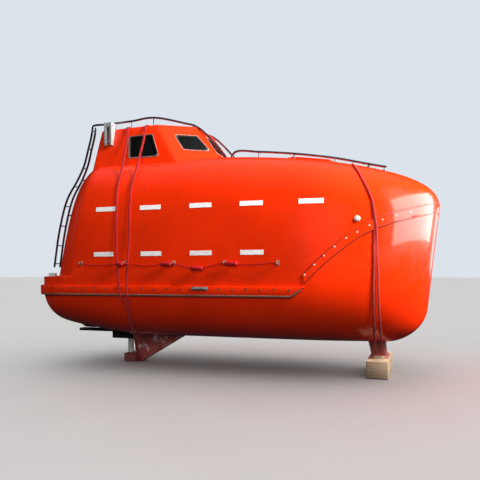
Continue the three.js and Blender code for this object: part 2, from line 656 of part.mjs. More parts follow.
// Where the outer skin is at half turns round its section, 0 on the crown, 1 at the widest level and
// 2 at the keel, with x following the strap: xAt gives it for a level
function skinPoint(turn, xAt) {
  let [s, y, z] = [xAt(railLevel), 0, railLevel];
  for (let pass = 0; pass < 12; pass += 1) {
    const [low, mid, high] = [bottom(s, 0), widest(s), crown(s, 0)];
    const angle = (turn % 1) * Math.PI / 2;
    if (turn < 1) {
      const [topFull, topHigh] = upperShape(s);
      y = planHalf(s, 0) * power(Math.sin(angle), 2 / topFull);
      z = mid + (high - mid) * power(Math.cos(angle), 2 / topHigh);
    } else {
      const [lowFull, lowDeep] = lowerShape(s);
      y = planHalf(s, 0) * power(Math.cos(angle), 2 / lowFull);
      z = mid - (mid - low) * power(Math.sin(angle), 2 / lowDeep);
    }
    s = xAt(z) - slide(s, z, 0);
  }
  return [y, z];
}

// A value read from a table of [level, value], highest level first
function tableAt(table, z) {
  const row = table.findIndex(([level]) => z >= level);
  if (row === 0) return table[0][1];
  if (row < 0) return table[table.length - 1][1];
  const [[high, a], [low, b]] = [table[row - 1], table[row]];
  return mix(b, a, (z - low) / (high - low));
}

// A strap drawn tight round the boat: over the skin and the given edges [y, z], and on through the
// points under it. Seen along the boat each of its edges is the outer hull of those points, the skin
// and the edges lifted off by the strap's own lift
const strapCentre = 1300;
const strapAngle = ([y, z]) => Math.atan2(y, z - strapCentre);
const skinTurns = [...Array(20).keys()].map((i) => i / 10).concat(1.95);
function lifted([y, z], lift) {
  const scale = lift / Math.hypot(y, z - strapCentre);
  return [y * (1 + scale), z + (z - strapCentre) * scale];
}
function strapEdge(xAt, { edges, under, lift }) {
  const points = [...skinTurns.map((turn) => skinPoint(turn, xAt)), ...edges].map((p) => lifted(p, lift))
    .filter((p) => strapAngle(p) < strapAngle(under[0]))
    .sort((a, b) => strapAngle(a) - strapAngle(b) || b[1] - a[1]);
  const chain = [];
  for (const p of [...points, ...under]) {
    while (chain.length > 1) {
      const [a, b] = chain.slice(-2);
      if ((b[0] - a[0]) * (p[1] - a[1]) - (b[1] - a[1]) * (p[0] - a[0]) < 0) break;
      chain.pop();
    }
    chain.push(p);
  }
  return chain;
}

// How far from the centre line the edge lies in a direction
function reach(chain, angle) {
  const next = Math.max(1, chain.findIndex((p) => strapAngle(p) >= angle - 1e-9));
  const [[ay, az], [by, bz]] = [chain[next - 1], chain[next]];
  const [dy, dz] = [by - ay, bz - az];
  return (ay * dz - (az - strapCentre) * dy) / (Math.sin(angle) * dz - Math.cos(angle) * dy);
}

function strap(levels, way) {
  const { thick, steps } = strapSection;
  const { width } = way;
  const chains = [-width / 2, width / 2].map((dx) => strapEdge((z) => tableAt(levels, z) + dx, way));
  const last = strapAngle(way.under[way.under.length - 1]);
  const corners = [...way.edges.map((p) => lifted(p, way.lift)), ...way.under].map(strapAngle);
  const angles = [...Array(steps).keys()].map((i) => (i / steps) * last)
    .concat(corners).sort((a, b) => a - b)
    .filter((angle, i, all) => i === 0 || angle - all[i - 1] > 1e-6);
  const ring = (angle, sign) => [[0, -1], [1, -1], [1, 1], [0, 1]].map(([edge, face]) => {
    const r = reach(chains[edge], angle) + face * thick / 2;
    const [y, z] = [r * Math.sin(angle), strapCentre + r * Math.cos(angle)];
    return [tableAt(levels, z) + (edge - 0.5) * width, sign * y, z];
  });
  const rings = [...angles.slice(1).reverse().map((angle) => ring(angle, -1)),
    ...angles.map((angle) => ring(angle, 1))];
  const made = ringLoft(rings);
  return made.volume() > 0 ? made : ringLoft(rings.slice().reverse());
}

// Levels and places [z, x] of the lashing straps
const aftStraps = [
  [[3190, -1541], [3060, -1500], [2900, -1483], [2700, -1472], [2500, -1452], [2180, -1448], [1900, -1424],
    [1390, -1408], [1100, -1390], [865, -1352], [640, -1326], [470, -1262], [220, -1300], [60, -1385], [-395, -1632]],
  [[3190, -1225], [3050, -1216], [2950, -1204], [2750, -1206], [2500, -1206], [2170, -1222], [1900, -1210],
    [1390, -1200], [1100, -1216], [655, -1223], [470, -1224], [220, -1286], [60, -1381], [-395, -1632]],
];
const foreStraps = [
  [[2520, 1782], [2393, 1872], [2233, 1972], [2060, 2056], [1889, 2124], [1586, 2158], [1100, 2150], [50, 2116]],
  [[2520, 1784], [2393, 1874], [2233, 1974], [2060, 2060], [1889, 2130], [1586, 2176], [1100, 2194], [50, 2198]],
];
const strapSection = { thick: 6, steps: 18 };
const roofEdges = [[0, 3196], [640, 3196], [664, 3184]];
const railEdges = [[halfBeam + fenderDepth, 792], [halfBeam + fenderDepth, 660]];
const aftWay = { width: 38, edges: [...roofEdges, ...railEdges], under: [[68, -450], [2, -450]], lift: 20 };
const foreWay = { width: 26, edges: [], under: [[lug.y, lug.z]], lift: 26 };
const aftLashing = () => union(aftStraps.map((levels) => strap(levels, aftWay)));
const foreLashing = () => union(foreStraps.map((levels) => strap(levels, foreWay)));

// Grab lines along both sides: eyes at [x, z], rope through them with floats on it
const lineEyes = [[-1997, 1132], [-1262, 1135], [-515, 1128], [226, 1126], [950, 1120]];
const lineRoute = [[-1997, 1106], [-1650, 1082], [-1262, 1100], [-900, 1070], [-515, 1098], [-152, 1028],
  [226, 1098], [590, 1078], [950, 1100]];
const floats = [{ x: -1316, z: 1097, half: 46 }, { x: -608, z: 1090, half: 80 },
  { x: -152, z: 1028, half: 90 }, { x: 337, z: 1090, half: 85 }];
const rope = { radius: 9, out: 56, float: 34 };
function sideAt(x, z) {
  let s = x;
  for (let pass = 0; pass < 8; pass += 1) s = x - slide(s, z, 0);
  return breadthAt(s, z);
}
function grabLine(sign) {
  const run = lineRoute.map(([x, z]) => [x, sign * (sideAt(x, z) + rope.out), z]);
  const eyes = lineEyes.map(([x, z]) =>
    block(x - 9, x + 9, ...across(sign, sideAt(x, z) - 20, sideAt(x, z) + rope.out + 14), z - 36, z + 10));
  const line = floats.map(({ x, z, half }) => {
    const profile = [[0, -half], [1, -0.6 * half], [1, 0.6 * half], [0, half]];
    const ball = new THREE.LatheGeometry(profile.map(([r, h]) => new THREE.Vector2(r * rope.float, h)), 8);
    ball.rotateZ(-Math.PI / 2);
    return solid(placed(ball, x, sign * (sideAt(x, z) + rope.out), z));
  });
  return union([bar(run, rope.radius, 20, 6), ...line, ...eyes]).subtract(bodyTouch);
}

add('hull', finish.orange, hull());
add('canopy', finish.orange, canopy());
add('wheelhouse', finish.orange, wheelhouse());
for (const w of windows) add(w.name, finish.glass, pane(w));
add('rub_rail', finish.orange, rubRail());
add('seam_flange', finish.orange, seamFlange());
add('door_frame', finish.orange, doorFrame());
add('aft_door', finish.orange, aftDoor());
add('hatch_coaming', finish.orange, hatchCoaming());
add('hatch_lid', finish.orange, hatchLid());
for (const { name, sign } of sides) {
  add(`stern_rail_${name}`, finish.steel, sternRail(sign));
  add(`roof_rail_${name}`, finish.steel, roofRail(sign));
  add(`deck_rail_${name}`, finish.steel, deckRail(sign));
  add(`lift_bracket_${name}`, finish.galvanised, liftBracket(sign));
  add(`bow_boss_${name}`, finish.steel, bowBoss(sign));
  add(`cleat_${name}`, finish.galvanised, cleat(sign));
  add(`seat_bank_${name}`, finish.seat, seatBank(sign));
  add(`grab_line_${name}`, finish.red, grabLine(sign));
}
add('skeg', finish.orange, skeg());
add('shaft_fairing', finish.black, shaftFairing());
add('steering_nozzle', finish.black, steeringNozzle());
add('propeller', finish.bronze, propeller());
add('fore_lashing', finish.red, foreLashing());
add('aft_lashing', finish.red, aftLashing());
add('stern_rest', finish.restSteel, sternRest());
add('stern_prop', finish.timber, sternProp());
add('bow_rest', finish.restSteel, bowRest());
add('bow_sleeper', finish.timber, bowSleeper());
add('sole', finish.liner, sole());
add('helm_platform', finish.liner, helmPlatform());
add('helm_seat', finish.seat, helmSeat());
add('helm_console', finish.liner, helmConsole());
add('steering_wheel', finish.black, steeringWheel());
add('engine', finish.galvanised, engine());

const boat = new THREE.Group();
for (const { name, material, made } of parts) {
  const mesh = new THREE.Mesh(geometryOf(made), material);
  mesh.name = name;
  boat.add(mesh);
}
const around = new THREE.Box3().setFromObject(boat);
boat.position.set(-(around.min.x + around.max.x) / 2, 0, groundDepth);

export default boat;
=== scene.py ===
"""Totally enclosed free-fall lifeboat on two low rests: its looks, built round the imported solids.

Metres. X runs forward, Y to port, Z up. Shapes are worked out in the hull's own frame, with Z = 0 at
the flat of the bottom, and Form.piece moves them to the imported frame, with Z = 0 on the ground.
"""
import math
from contextlib import contextmanager

import bmesh
import bpy
import numpy as np
from bpy.props import FloatProperty, FloatVectorProperty, IntProperty, PointerProperty
from mathutils import Matrix, Vector


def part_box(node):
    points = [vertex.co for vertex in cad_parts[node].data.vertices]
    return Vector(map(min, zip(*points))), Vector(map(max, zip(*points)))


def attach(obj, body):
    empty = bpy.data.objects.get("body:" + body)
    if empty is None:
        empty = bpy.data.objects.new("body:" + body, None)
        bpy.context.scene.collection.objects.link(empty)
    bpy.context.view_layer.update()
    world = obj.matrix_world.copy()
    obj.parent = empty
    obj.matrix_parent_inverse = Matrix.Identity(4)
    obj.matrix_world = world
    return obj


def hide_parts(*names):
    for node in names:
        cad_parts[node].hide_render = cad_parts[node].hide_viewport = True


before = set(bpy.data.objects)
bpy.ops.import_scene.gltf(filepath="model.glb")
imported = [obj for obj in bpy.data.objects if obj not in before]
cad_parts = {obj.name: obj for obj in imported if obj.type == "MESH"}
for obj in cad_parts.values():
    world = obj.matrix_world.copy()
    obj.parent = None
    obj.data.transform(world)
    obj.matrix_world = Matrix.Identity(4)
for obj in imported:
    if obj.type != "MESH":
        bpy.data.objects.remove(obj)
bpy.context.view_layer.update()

bl_info = {
    "name": "Enclosed Free-Fall Lifeboat",
    "version": (1, 0, 0),
    "blender": (4, 5, 0),
    "location": "View3D > Sidebar > Lifeboat",
    "description": "Builds the visible pieces of an enclosed lifeboat round its packed solids",
    "category": "Add Mesh",
}

SLEEPER_AFT = 2.000
GROUND_DEPTH = 0.460
SHIFT = np.array([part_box("bow_sleeper")[0].x - SLEEPER_AFT, 0.0, GROUND_DEPTH])

# Driving dimensions of the shell, as in the part's source
HALF_BEAM = 1.210
WALL = 0.050
RAIL_LEVEL = 0.760
BOW_RAIL_LEVEL = 1.350
DECK_LEVEL = 2.685
BOW_DECK_LEVEL = 1.790
PLATFORM_LEVEL = 0.920
CANOPY_AFT = -2.620
PLATFORM_LENGTH = 0.285
AFT_LEAN = 0.195
STEM_END = 2.790
STEM_LEAN = 0.1127
STEM_LEAN_LEVEL = 0.450
FENDER_DEPTH = 0.035
FLANGE_DEPTH = 0.014
STEM_FLANGE_DEPTH = 0.003
SIDES = (("starboard", -1), ("port", 1))

# Where the shell's curves begin, as stations, how far they run, and the radii of the stern's corners
BOW_START, BOW_POWER = 0.980, 2.4
BLEND_START, BLEND_RUN = 1.300, 1.490
NARROWING_START, NARROWING_RUN = -1.500, 1.450
CROWN_START, BOTTOM_START = -0.500, 2.250
CORNER, TOP_CORNER, FOOT_CORNER = 0.450, 0.380, 0.180
LOWER_STEPS, UPPER_STEPS = 28, 32

# How far the shell's lines move in at the stern, and up or down at its ends and corners
STERN_TAPER, STERN_RISE, FOREFOOT_RISE = 0.090, 0.330, 0.470
TOP_DROP, FOOT_RISE = 0.420, 0.200


# Small functions for curves, for numbers and arrays alike
def clamp01(t):
    return np.clip(t, 0.0, 1.0)


def smooth(t):
    return clamp01(t) ** 2 * (3 - 2 * clamp01(t))


def mix(a, b, t):
    return a + (b - a) * t


def round_off(t):
    return 1 - np.sqrt(np.maximum(0.0, 1 - clamp01(t) ** 2))


def power(t, e):
    return np.maximum(0.0, t) ** e


# The moulded shell: s is the station along the boat and d the distance inside its outer face
def bow_blend(s):
    return smooth((s - BLEND_START) / BLEND_RUN)


def narrowing(s):
    return clamp01((NARROWING_START - s) / NARROWING_RUN)


def corner_round(s, d, radius):
    """Zero before the stern's corner, one at its aft end."""
    return round_off((CANOPY_AFT + d + radius - s) / radius)


def plan_half(s, d=0.0):
    bow = clamp01((s - BOW_START) / (STEM_END - d - BOW_START))
    forward = power(1 - bow ** BOW_POWER, 1 / 1.9)
    taper = STERN_TAPER * narrowing(s) ** 2
    return (HALF_BEAM - taper - d) * forward - CORNER * corner_round(s, d, CORNER)


def crown(s, d=0.0):
    run = clamp01((s - CROWN_START) / (STEM_END - d - CROWN_START))
    rise = power(1 - run ** 1.8, 1 / 2.6)
    return mix(BOW_DECK_LEVEL, DECK_LEVEL - d, rise) - TOP_DROP * corner_round(s, d, TOP_CORNER)


def bottom(s, d=0.0):
    bow_rise = FOREFOOT_RISE * round_off((s - BOTTOM_START) / (STEM_END - d - BOTTOM_START))
    stern_rise = STERN_RISE * narrowing(s) ** 1.5
    return bow_rise + stern_rise + FOOT_RISE * corner_round(s, d, FOOT_CORNER) + d


def widest(s):
    return mix(RAIL_LEVEL, BOW_RAIL_LEVEL, smooth((s - 0.900) / 1.890))


def lower_shape(s):
    return mix(2.5, 2.0, bow_blend(s)), mix(2.2, 2.0, bow_blend(s))


def upper_shape(s):
    full = mix(4.0, 2.6, bow_blend(s))
    return full, full


def slide(s, z, d=0.0):
    """How far a point of station s slides along the boat at level z."""
    stem = STEM_LEAN * (z - STEM_LEAN_LEVEL) * bow_blend(s)
    shelf = PLATFORM_LEVEL - d + 0.008
    hull_run = -PLATFORM_LENGTH * smooth((-1.700 - s) / (-1.700 - CANOPY_AFT))
    wall_run = AFT_LEAN * (z - shelf) * smooth((-0.900 - s) / 1.700)
    return stem + np.where(z < shelf, hull_run, wall_run)


def half_breadth(s, z, d=0.0):
    """Half the breadth of the skin at station s and level z."""
    low, mid, high = bottom(s, d), widest(s), crown(s, d)
    (low_full, low_deep), (top_full, top_high) = lower_shape(s), upper_shape(s)
    above = z >= mid
    reach = clamp01(np.where(above, (z - mid) / (high - mid), (mid - z) / (mid - low)))
    full, deep = np.where(above, top_full, low_full), np.where(above, top_high, low_deep)
    return plan_half(s, d) * power(1 - reach ** deep, 1 / full)


def station_at(x, z):
    """The station whose skin lies at x on level z."""
    s = x
    for _ in range(12):
        s = x - slide(s, z)
    return s


def side_at(x, z):
    return half_breadth(station_at(x, z), z)


def corner_stations(d=0.0):
    return CANOPY_AFT + d + CORNER * (1 - np.cos(np.linspace(0, np.pi / 2, 22)))


def bow_stations(start, count, d=0.0):
    """Stations from a start angle to the stem, closer together towards it."""
    turn = np.linspace(start, np.pi / 2, count)
    return BOW_START + (STEM_END - d - BOW_START) * np.sin(turn) ** (2 / BOW_POWER)


def stations(d=0.0):
    """Stations close together where the skin turns fast."""
    corner = corner_stations(d)
    return np.concatenate([corner, np.linspace(corner[-1], BOW_START, 44)[1:-1], bow_stations(0, 46, d)])


def half_sections(s, d=0.0):
    """Half a section at each station, keel to crown, as arrays [station, point] of x, y and z."""
    s = s[:, None]
    breadth = np.maximum(0.0, plan_half(s, d))
    low, mid, high = bottom(s, d), widest(s), crown(s, d)
    (low_full, low_deep), (top_full, top_high) = lower_shape(s), upper_shape(s)
    turn = np.linspace(0, np.pi / 2, LOWER_STEPS + 1)[None, :]
    under = (breadth * np.sin(turn) ** (2 / low_full), mid - (mid - low) * np.cos(turn) ** (2 / low_deep))
    step = np.minimum(PLATFORM_LEVEL - d - RAIL_LEVEL, 0.12 * (high - mid))
    shelf = np.concatenate([step / 3, step * 2 / 3, step, step + 0.015], axis=1) / (high - mid)
    start = np.arcsin(shelf[:, -1:] ** (top_high / 2))
    turn = mix(start, np.pi / 2, np.linspace(0, 1, UPPER_STEPS + 1)[None, 1:])
    rise = np.concatenate([shelf, np.sin(turn) ** (2 / top_high)], axis=1)
    over = (breadth * power(1 - rise ** top_high, 1 / top_full), mid + (high - mid) * rise)
    y, z = (np.concatenate(pair, axis=1) for pair in zip(under, over))
    y[:, 0] = y[:, -1] = 0.0
    return s + slide(s, z, d), y, z


def new_piece(name, data):
    """An object in the scene for a mesh or a curve."""
    piece = bpy.data.objects.new(name, data)
    bpy.context.scene.collection.objects.link(piece)
    return piece


@contextmanager
def editing(mesh):
    """A mesh opened for changes, written back at the end."""
    made = bmesh.new()
    made.from_mesh(mesh)
    yield made
    made.to_mesh(mesh)
    made.free()


class Form:
    """Points and faces in the hull's frame that become one piece."""

    def __init__(self):
        self.points, self.faces, self.slots = [], [], []

    def add(self, shape, slot=0):
        points, faces = shape
        base = len(self.points)
        self.points.extend(tuple(map(float, p)) for p in points)
        self.faces.extend([base + i for i in face] for face in faces)
        self.slots.extend([slot] * len(faces))
        return self

    def piece(self, name):
        mesh = bpy.data.meshes.new(name)
        mesh.from_pydata((np.array(self.points) + SHIFT).tolist(), [], self.faces)
        mesh.polygons.foreach_set("material_index", self.slots)
        with editing(mesh) as made:
            bmesh.ops.remove_doubles(made, verts=made.verts, dist=1e-5)
            bmesh.ops.dissolve_degenerate(made, edges=made.edges, dist=1e-6)
            bmesh.ops.recalc_face_normals(made, faces=made.faces)
        return new_piece(name, mesh)


def solid(shape, name="cutter"):
    return Form().add(shape).piece(name)


# Shapes, each as (points, faces)
def loft(rings, ends=True):
    """Closed rings joined into a skin, with a face on each end."""
    rings = np.asarray(rings, float)
    count, size = rings.shape[:2]
    faces = [[a + i, a + (i + 1) % size, b + (i + 1) % size, b + i]
             for a, b in ((r * size, (r + 1) * size) for r in range(count - 1)) for i in range(size)]
    if ends:
        faces += [list(range(size))[::-1], [(count - 1) * size + i for i in range(size)]]
    return rings.reshape(-1, 3), faces


def axes_round(way):
    """Two directions square to the given one and to each other."""
    across = np.cross(way, [0, 0, 1] if abs(way[2]) < 0.9 else [0, 1, 0])
    across /= np.linalg.norm(across)
    return across, np.cross(way, across)


def circle(centre, across, up, radius, sides):
    turns = np.linspace(0, 2 * np.pi, sides, endpoint=False)
    return [centre + radius * (math.cos(t) * across + math.sin(t) * up) for t in turns]


def tube(route, radius, sides=14):
    """A round bar along a route of points; the radius may change from point to point."""
    route = np.asarray(route, float)
    ways = np.gradient(route, axis=0)
    ways /= np.linalg.norm(ways, axis=1)[:, None]
    across, rings = axes_round(ways[0])[0], []
    for point, way, r in zip(route, ways, np.broadcast_to(radius, len(route))):
        across = across - way * (across @ way)
        across /= np.linalg.norm(across)
        rings.append(circle(point, across, np.cross(way, across), r, sides))
    return loft(rings)


def bar(a, b, radius, sides=12):
    return tube([a, mix(np.array(a), np.array(b), 0.5), b], radius, sides)


def curve_through(points, count):
    """Points along a centripetal spline through the given ones."""
    p = np.asarray(points, float)
    p = np.vstack([2 * p[0] - p[1], p, 2 * p[-1] - p[-2]])
    out = []
    spans = len(p) - 3
    for u in np.linspace(0, spans, count):
        i = min(int(u), spans - 1)
        q = p[i:i + 4]
        t = np.concatenate([[0], np.cumsum(np.linalg.norm(np.diff(q, axis=0), axis=1) ** 0.5)])
        at = mix(t[1], t[2], u - i)
        a = [mix(q[k], q[k + 1], (at - t[k]) / (t[k + 1] - t[k])) for k in range(3)]
        b = [mix(a[k], a[k + 1], (at - t[k]) / (t[k + 2] - t[k])) for k in range(2)]
        out.append(mix(b[0], b[1], (at - t[1]) / (t[2] - t[1])))
    return np.array(out)


def lengths_along(points):
    """Distance along a line from its first point to each of its points."""
    return np.concatenate([[0], np.cumsum(np.linalg.norm(np.diff(points, axis=0), axis=1))])


def points_along(points, marks):
    """Points at given distances along a line."""
    run = lengths_along(points)
    return np.stack([np.interp(marks, run, points[:, k]) for k in range(3)], 1)


def evenly(points, count):
    """A line's points spaced anew, evenly along it."""
    return points_along(points, np.linspace(0, lengths_along(points)[-1], count))


def spaced(points, step):
    """Points evenly spaced round a closed line."""
    points = np.array([*points, points[0]])
    length = lengths_along(points)[-1]
    return points_along(points, np.linspace(0, length, max(4, round(length / step)), endpoint=False))


def lathe(profile, centre, axis, sides=32):
    """A turned shape: profile holds [radius, height along the axis]."""
    way = np.array(axis, float) / np.linalg.norm(axis)
    across, up = axes_round(way)
    return loft([circle(np.array(centre) + h * way, across, up, r, sides) for r, h in profile])


def ring_lathe(profile, centre, axis, sides=48):
    """A turned ring: the profile closes on itself."""
    points, faces = lathe([*profile, profile[0]], centre, axis, sides)
    return points, faces[:-2]


def box(x0, x1, y0, y1, z0, z1, edge=0.0):
    """A block, its edges rounded by `edge`."""
    made = bmesh.new()
    size = Matrix.Diagonal((x1 - x0, y1 - y0, z1 - z0, 1))
    place = Matrix.Translation(((x0 + x1) / 2, (y0 + y1) / 2, (z0 + z1) / 2))
    bmesh.ops.create_cube(made, size=1, matrix=place @ size)
    if edge:
        bmesh.ops.bevel(made, geom=made.edges, offset=edge, segments=2, profile=0.5, affect="EDGES")
    return unpacked(made)


def unpacked(made):
    made.verts.index_update()
    shape = [v.co[:] for v in made.verts], [[v.index for v in f.verts] for f in made.faces]
    made.free()
    return shape


def across(sign, a, b):
    return (a, b) if sign > 0 else (-b, -a)


def side_prism(outline, y0, y1):
    """A side view outline [x, z] carried across the boat."""
    made = bmesh.new()
    face = made.faces.new([made.verts.new((x, y0, z)) for x, z in outline])
    moved = bmesh.ops.extrude_face_region(made, geom=[face])["geom"]
    moved = [v for v in moved if isinstance(v, bmesh.types.BMVert)]
    bmesh.ops.translate(made, vec=(0, y1 - y0, 0), verts=moved)
    bmesh.ops.recalc_face_normals(made, faces=made.faces)
    return unpacked(made)


def turned(shape, matrix):
    points, faces = shape
    return [matrix @ Vector(p) for p in points], faces


def rounded_rectangle(half_x, half_y, radius, steps=6):
    """[x, y] round a rectangle with rounded corners, anticlockwise."""
    out = []
    for cx, cy, start in ((1, -1, -90), (1, 1, 0), (-1, 1, 90), (-1, -1, 180)):
        x, y = cx * (half_x - radius), cy * (half_y - radius)
        out += [[x + radius * math.cos(angle), y + radius * math.sin(angle)]
                for angle in np.radians(np.linspace(start, start + 90, steps))]
    return np.array(out)


def bake(piece):
    """Puts the result of a piece's modifiers into its mesh."""
    bpy.context.view_layer.update()
    graph = bpy.context.evaluated_depsgraph_get()
    mesh = bpy.data.meshes.new_from_object(piece.evaluated_get(graph))
    piece.modifiers.clear()
    piece.data = mesh
    mesh.name = piece.name


def combine(piece, how, *others):
    """Adds, takes away or intersects other solids, which are used up."""
    for other in others:
        change = piece.modifiers.new("shape", "BOOLEAN")
        change.operation, change.solver, change.object = how, "MANIFOLD", other
    bake(piece)
    for other in others:
        bpy.data.objects.remove(other)
    return piece


def settle(piece, finishes, body="boat", replaces=(), angle=35):
    """Gives a finished piece its finishes, shading and body, and hides the nodes it replaces."""
    piece.data.materials.clear()
    for finish in [finishes] if isinstance(finishes, str) else finishes:
        piece.data.materials.append(finish_of(finish))
    piece.data.polygons.foreach_set("use_smooth", [True] * len(piece.data.polygons))
    piece.data.set_sharp_from_angle(angle=math.radians(angle))
    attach(piece, body)
    if replaces:
        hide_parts(*replaces)


# Materials
def feed(tree, socket, value):
    """Joins an input to another node's output or sets its value."""
    if isinstance(value, bpy.types.NodeSocket):
        tree.links.new(value, socket)
    else:
        socket.default_value = value


def add(tree, kind, inputs=None, **settings):
    """A node with its inputs set to values or joined to sockets."""
    node = tree.nodes.new(kind)
    for key, value in settings.items():
        setattr(node, key, value)
    for key, value in (inputs or {}).items():
        feed(tree, node.inputs[key], value)
    return node


def new_finish(name, **values):
    finish = bpy.data.materials.new(name)
    finish.use_nodes = True
    tree = finish.node_tree
    tree.nodes.clear()
    shader = add(tree, "ShaderNodeBsdfPrincipled")
    add(tree, "ShaderNodeOutputMaterial", {"Surface": shader.outputs["BSDF"]})
    for key, value in values.items():
        shader.inputs[key.replace("_", " ").title().replace("Ior", "IOR")].default_value = value
    return finish, tree


def dressed(finish, base, rough, normal=None):
    """Joins what varies over a finish to its shader."""
    for key, value in (("Base Color", base), ("Roughness", rough), ("Normal", normal)):
        if value is not None:
            finish.node_tree.links.new(value, finish.node_tree.nodes["Principled BSDF"].inputs[key])
    return finish


def shade(colour, factor):
    return [c * factor for c in colour]


def coordinates(tree, stretch=(1, 1, 1), source="Object"):
    place = add(tree, "ShaderNodeTexCoord").outputs[source]
    return add(tree, "ShaderNodeMapping", {"Vector": place, "Scale": stretch}).outputs["Vector"]


def noise(tree, scale, detail=4.0, rough=0.55, stretch=(1, 1, 1)):
    return add(tree, "ShaderNodeTexNoise", {"Vector": coordinates(tree, stretch), "Scale": scale,
                                            "Detail": detail, "Roughness": rough}).outputs["Fac"]


def ramp(tree, factor, stops):
    """Colours or greys by position, from a factor."""
    node = add(tree, "ShaderNodeValToRGB", {"Fac": factor})
    elements = node.color_ramp.elements
    while len(elements) < len(stops):
        elements.new(0.5)
    for element, (position, colour) in zip(elements, stops):
        element.position = position
        element.color = (colour,) * 3 + (1,) if isinstance(colour, (int, float)) else (*colour[:3], 1)
    return node.outputs["Color"]


def clouds(tree, stops, *pattern):
    """Colours or greys that follow a noise."""
    return ramp(tree, noise(tree, *pattern), stops)


def blend(tree, factor, a, b):
    node = add(tree, "ShaderNodeMix", data_type="RGBA")
    for index, value in ((0, factor), (6, a), (7, b)):
        plain = isinstance(value, (bpy.types.NodeSocket, int, float))
        feed(tree, node.inputs[index], value if plain else (*value[:3], 1))
    return node.outputs[2]


def math_node(tree, kind, a, b=0.0):
    return add(tree, "ShaderNodeMath", {0: a, 1: b}, operation=kind).outputs[0]


def scaled(tree, value, factor):
    return math_node(tree, "MULTIPLY", value, factor)


def bump(tree, height, strength, distance, under=None):
    inputs = {"Height": height, "Strength": strength, "Distance": distance}
    if under is not None:
        inputs["Normal"] = under
    return add(tree, "ShaderNodeBump", inputs).outputs["Normal"]


def gelcoat(name):
    """Glossy moulded laminate: faint mottling and run marks, fine orange peel, print of the lay-up."""
    colour = bpy.context.scene.lifeboat_shell.gelcoat
    finish, tree = new_finish(name, specular_ior_level=0.22, coat_weight=0.45, coat_roughness=0.06,
                              coat_ior=1.5)
    mottled = clouds(tree, [(0.36, shade(colour, 0.86)), (0.62, colour)], 1.1, 5, 0.6)
    runs = clouds(tree, [(0.56, 0.0), (0.80, 0.30)], 5.0, 6, 0.62, (1.6, 1.6, 0.12))
    chalk = clouds(tree, [(0.60, 0.0), (0.86, 0.16)], 26.0, 5, 0.7)
    worn = blend(tree, runs, mottled, [colour[0] * 0.62, colour[1] * 0.70, colour[2] + 0.004])
    rough = clouds(tree, [(0.30, 0.20), (0.74, 0.38)], 7.0, 6, 0.65)
    print_through = bump(tree, noise(tree, 2.6, 2, 0.4), 0.30, 0.010)
    peel = bump(tree, noise(tree, 160.0, 2, 0.5), 0.05, 0.0008, print_through)
    return dressed(finish, blend(tree, chalk, worn, (0.78, 0.045, 0.004)), rough, peel)


def metal(name, colour, dark, rough, spots=18.0, metallic=1.0):
    """Tube and plate with cloudy dulling and fine scratches."""
    finish, tree = new_finish(name, metallic=metallic)
    dull = clouds(tree, [(0.25, rough * 0.75), (0.8, min(1.0, rough * 1.45))], spots * 2.3, 5, 0.7)
    scratches = bump(tree, noise(tree, 140.0, 4, 0.7, (1, 1, 4)), 0.10, 0.0006)
    return dressed(finish, clouds(tree, [(0.32, dark), (0.66, colour)], spots, 6, 0.65), dull, scratches)


def paint(name, colour, under, rough=0.55, wear=(0.56, 0.66), scale=14.0):
    """Brushed paint, worn through in patches to what lies under it."""
    finish, tree = new_finish(name)
    coat = clouds(tree, [(0.3, shade(colour, 0.72)), (0.7, colour)], 5.0, 5)
    worn = clouds(tree, [(wear[0], 0.0), (wear[1], 1.0)], scale, 9, 0.72)
    dull = clouds(tree, [(0.3, rough * 0.8), (0.75, min(1.0, rough * 1.4))], scale * 1.7, 6)
    brushed = bump(tree, noise(tree, scale * 5, 6, 0.7), 0.35, 0.0015, bump(tree, worn, 0.25, 0.0012))
    return dressed(finish, blend(tree, worn, coat, under), dull, brushed)


def plastic(name, colour, rough=0.5, grain=420.0):
    finish, tree = new_finish(name)
    return dressed(finish, clouds(tree, [(0.3, shade(colour, 0.80)), (0.7, colour)], 9.0, 5),
                   clouds(tree, [(0.3, rough * 0.85), (0.75, min(1.0, rough * 1.25))], 30.0, 5),
                   bump(tree, noise(tree, grain, 3), 0.12, 0.0006))


def tinted_glass(name):
    """Dark tinted pane with a film of dust."""
    finish, tree = new_finish(name, transmission_weight=0.12, ior=1.35, specular_ior_level=0.3)
    tint = clouds(tree, [(0.35, (0.002, 0.003, 0.002)), (0.8, (0.008, 0.010, 0.009))], 3.0, 5, 0.6)
    return dressed(finish, tint, clouds(tree, [(0.35, 0.03), (0.8, 0.16)], 12.0, 6, 0.7))


def reflective_tape(name):
    """White reflective tape, its cells a fine pattern."""
    finish, tree = new_finish(name, coat_weight=0.5, coat_roughness=0.12)
    cells = add(tree, "ShaderNodeTexVoronoi", {"Vector": coordinates(tree), "Scale": 230.0},
                feature="DISTANCE_TO_EDGE").outputs["Distance"]
    soiled = clouds(tree, [(0.30, (0.78, 0.77, 0.75)), (0.55, (0.92, 0.92, 0.91))], 16.0, 6, 0.65)
    base = blend(tree, ramp(tree, cells, [(0.02, 0.22), (0.08, 0.0)]), soiled, (0.55, 0.56, 0.57))
    dull = clouds(tree, [(0.3, 0.25), (0.7, 0.42)], 40.0, 4)
    return dressed(finish, base, dull, bump(tree, cells, 0.10, 0.0004))


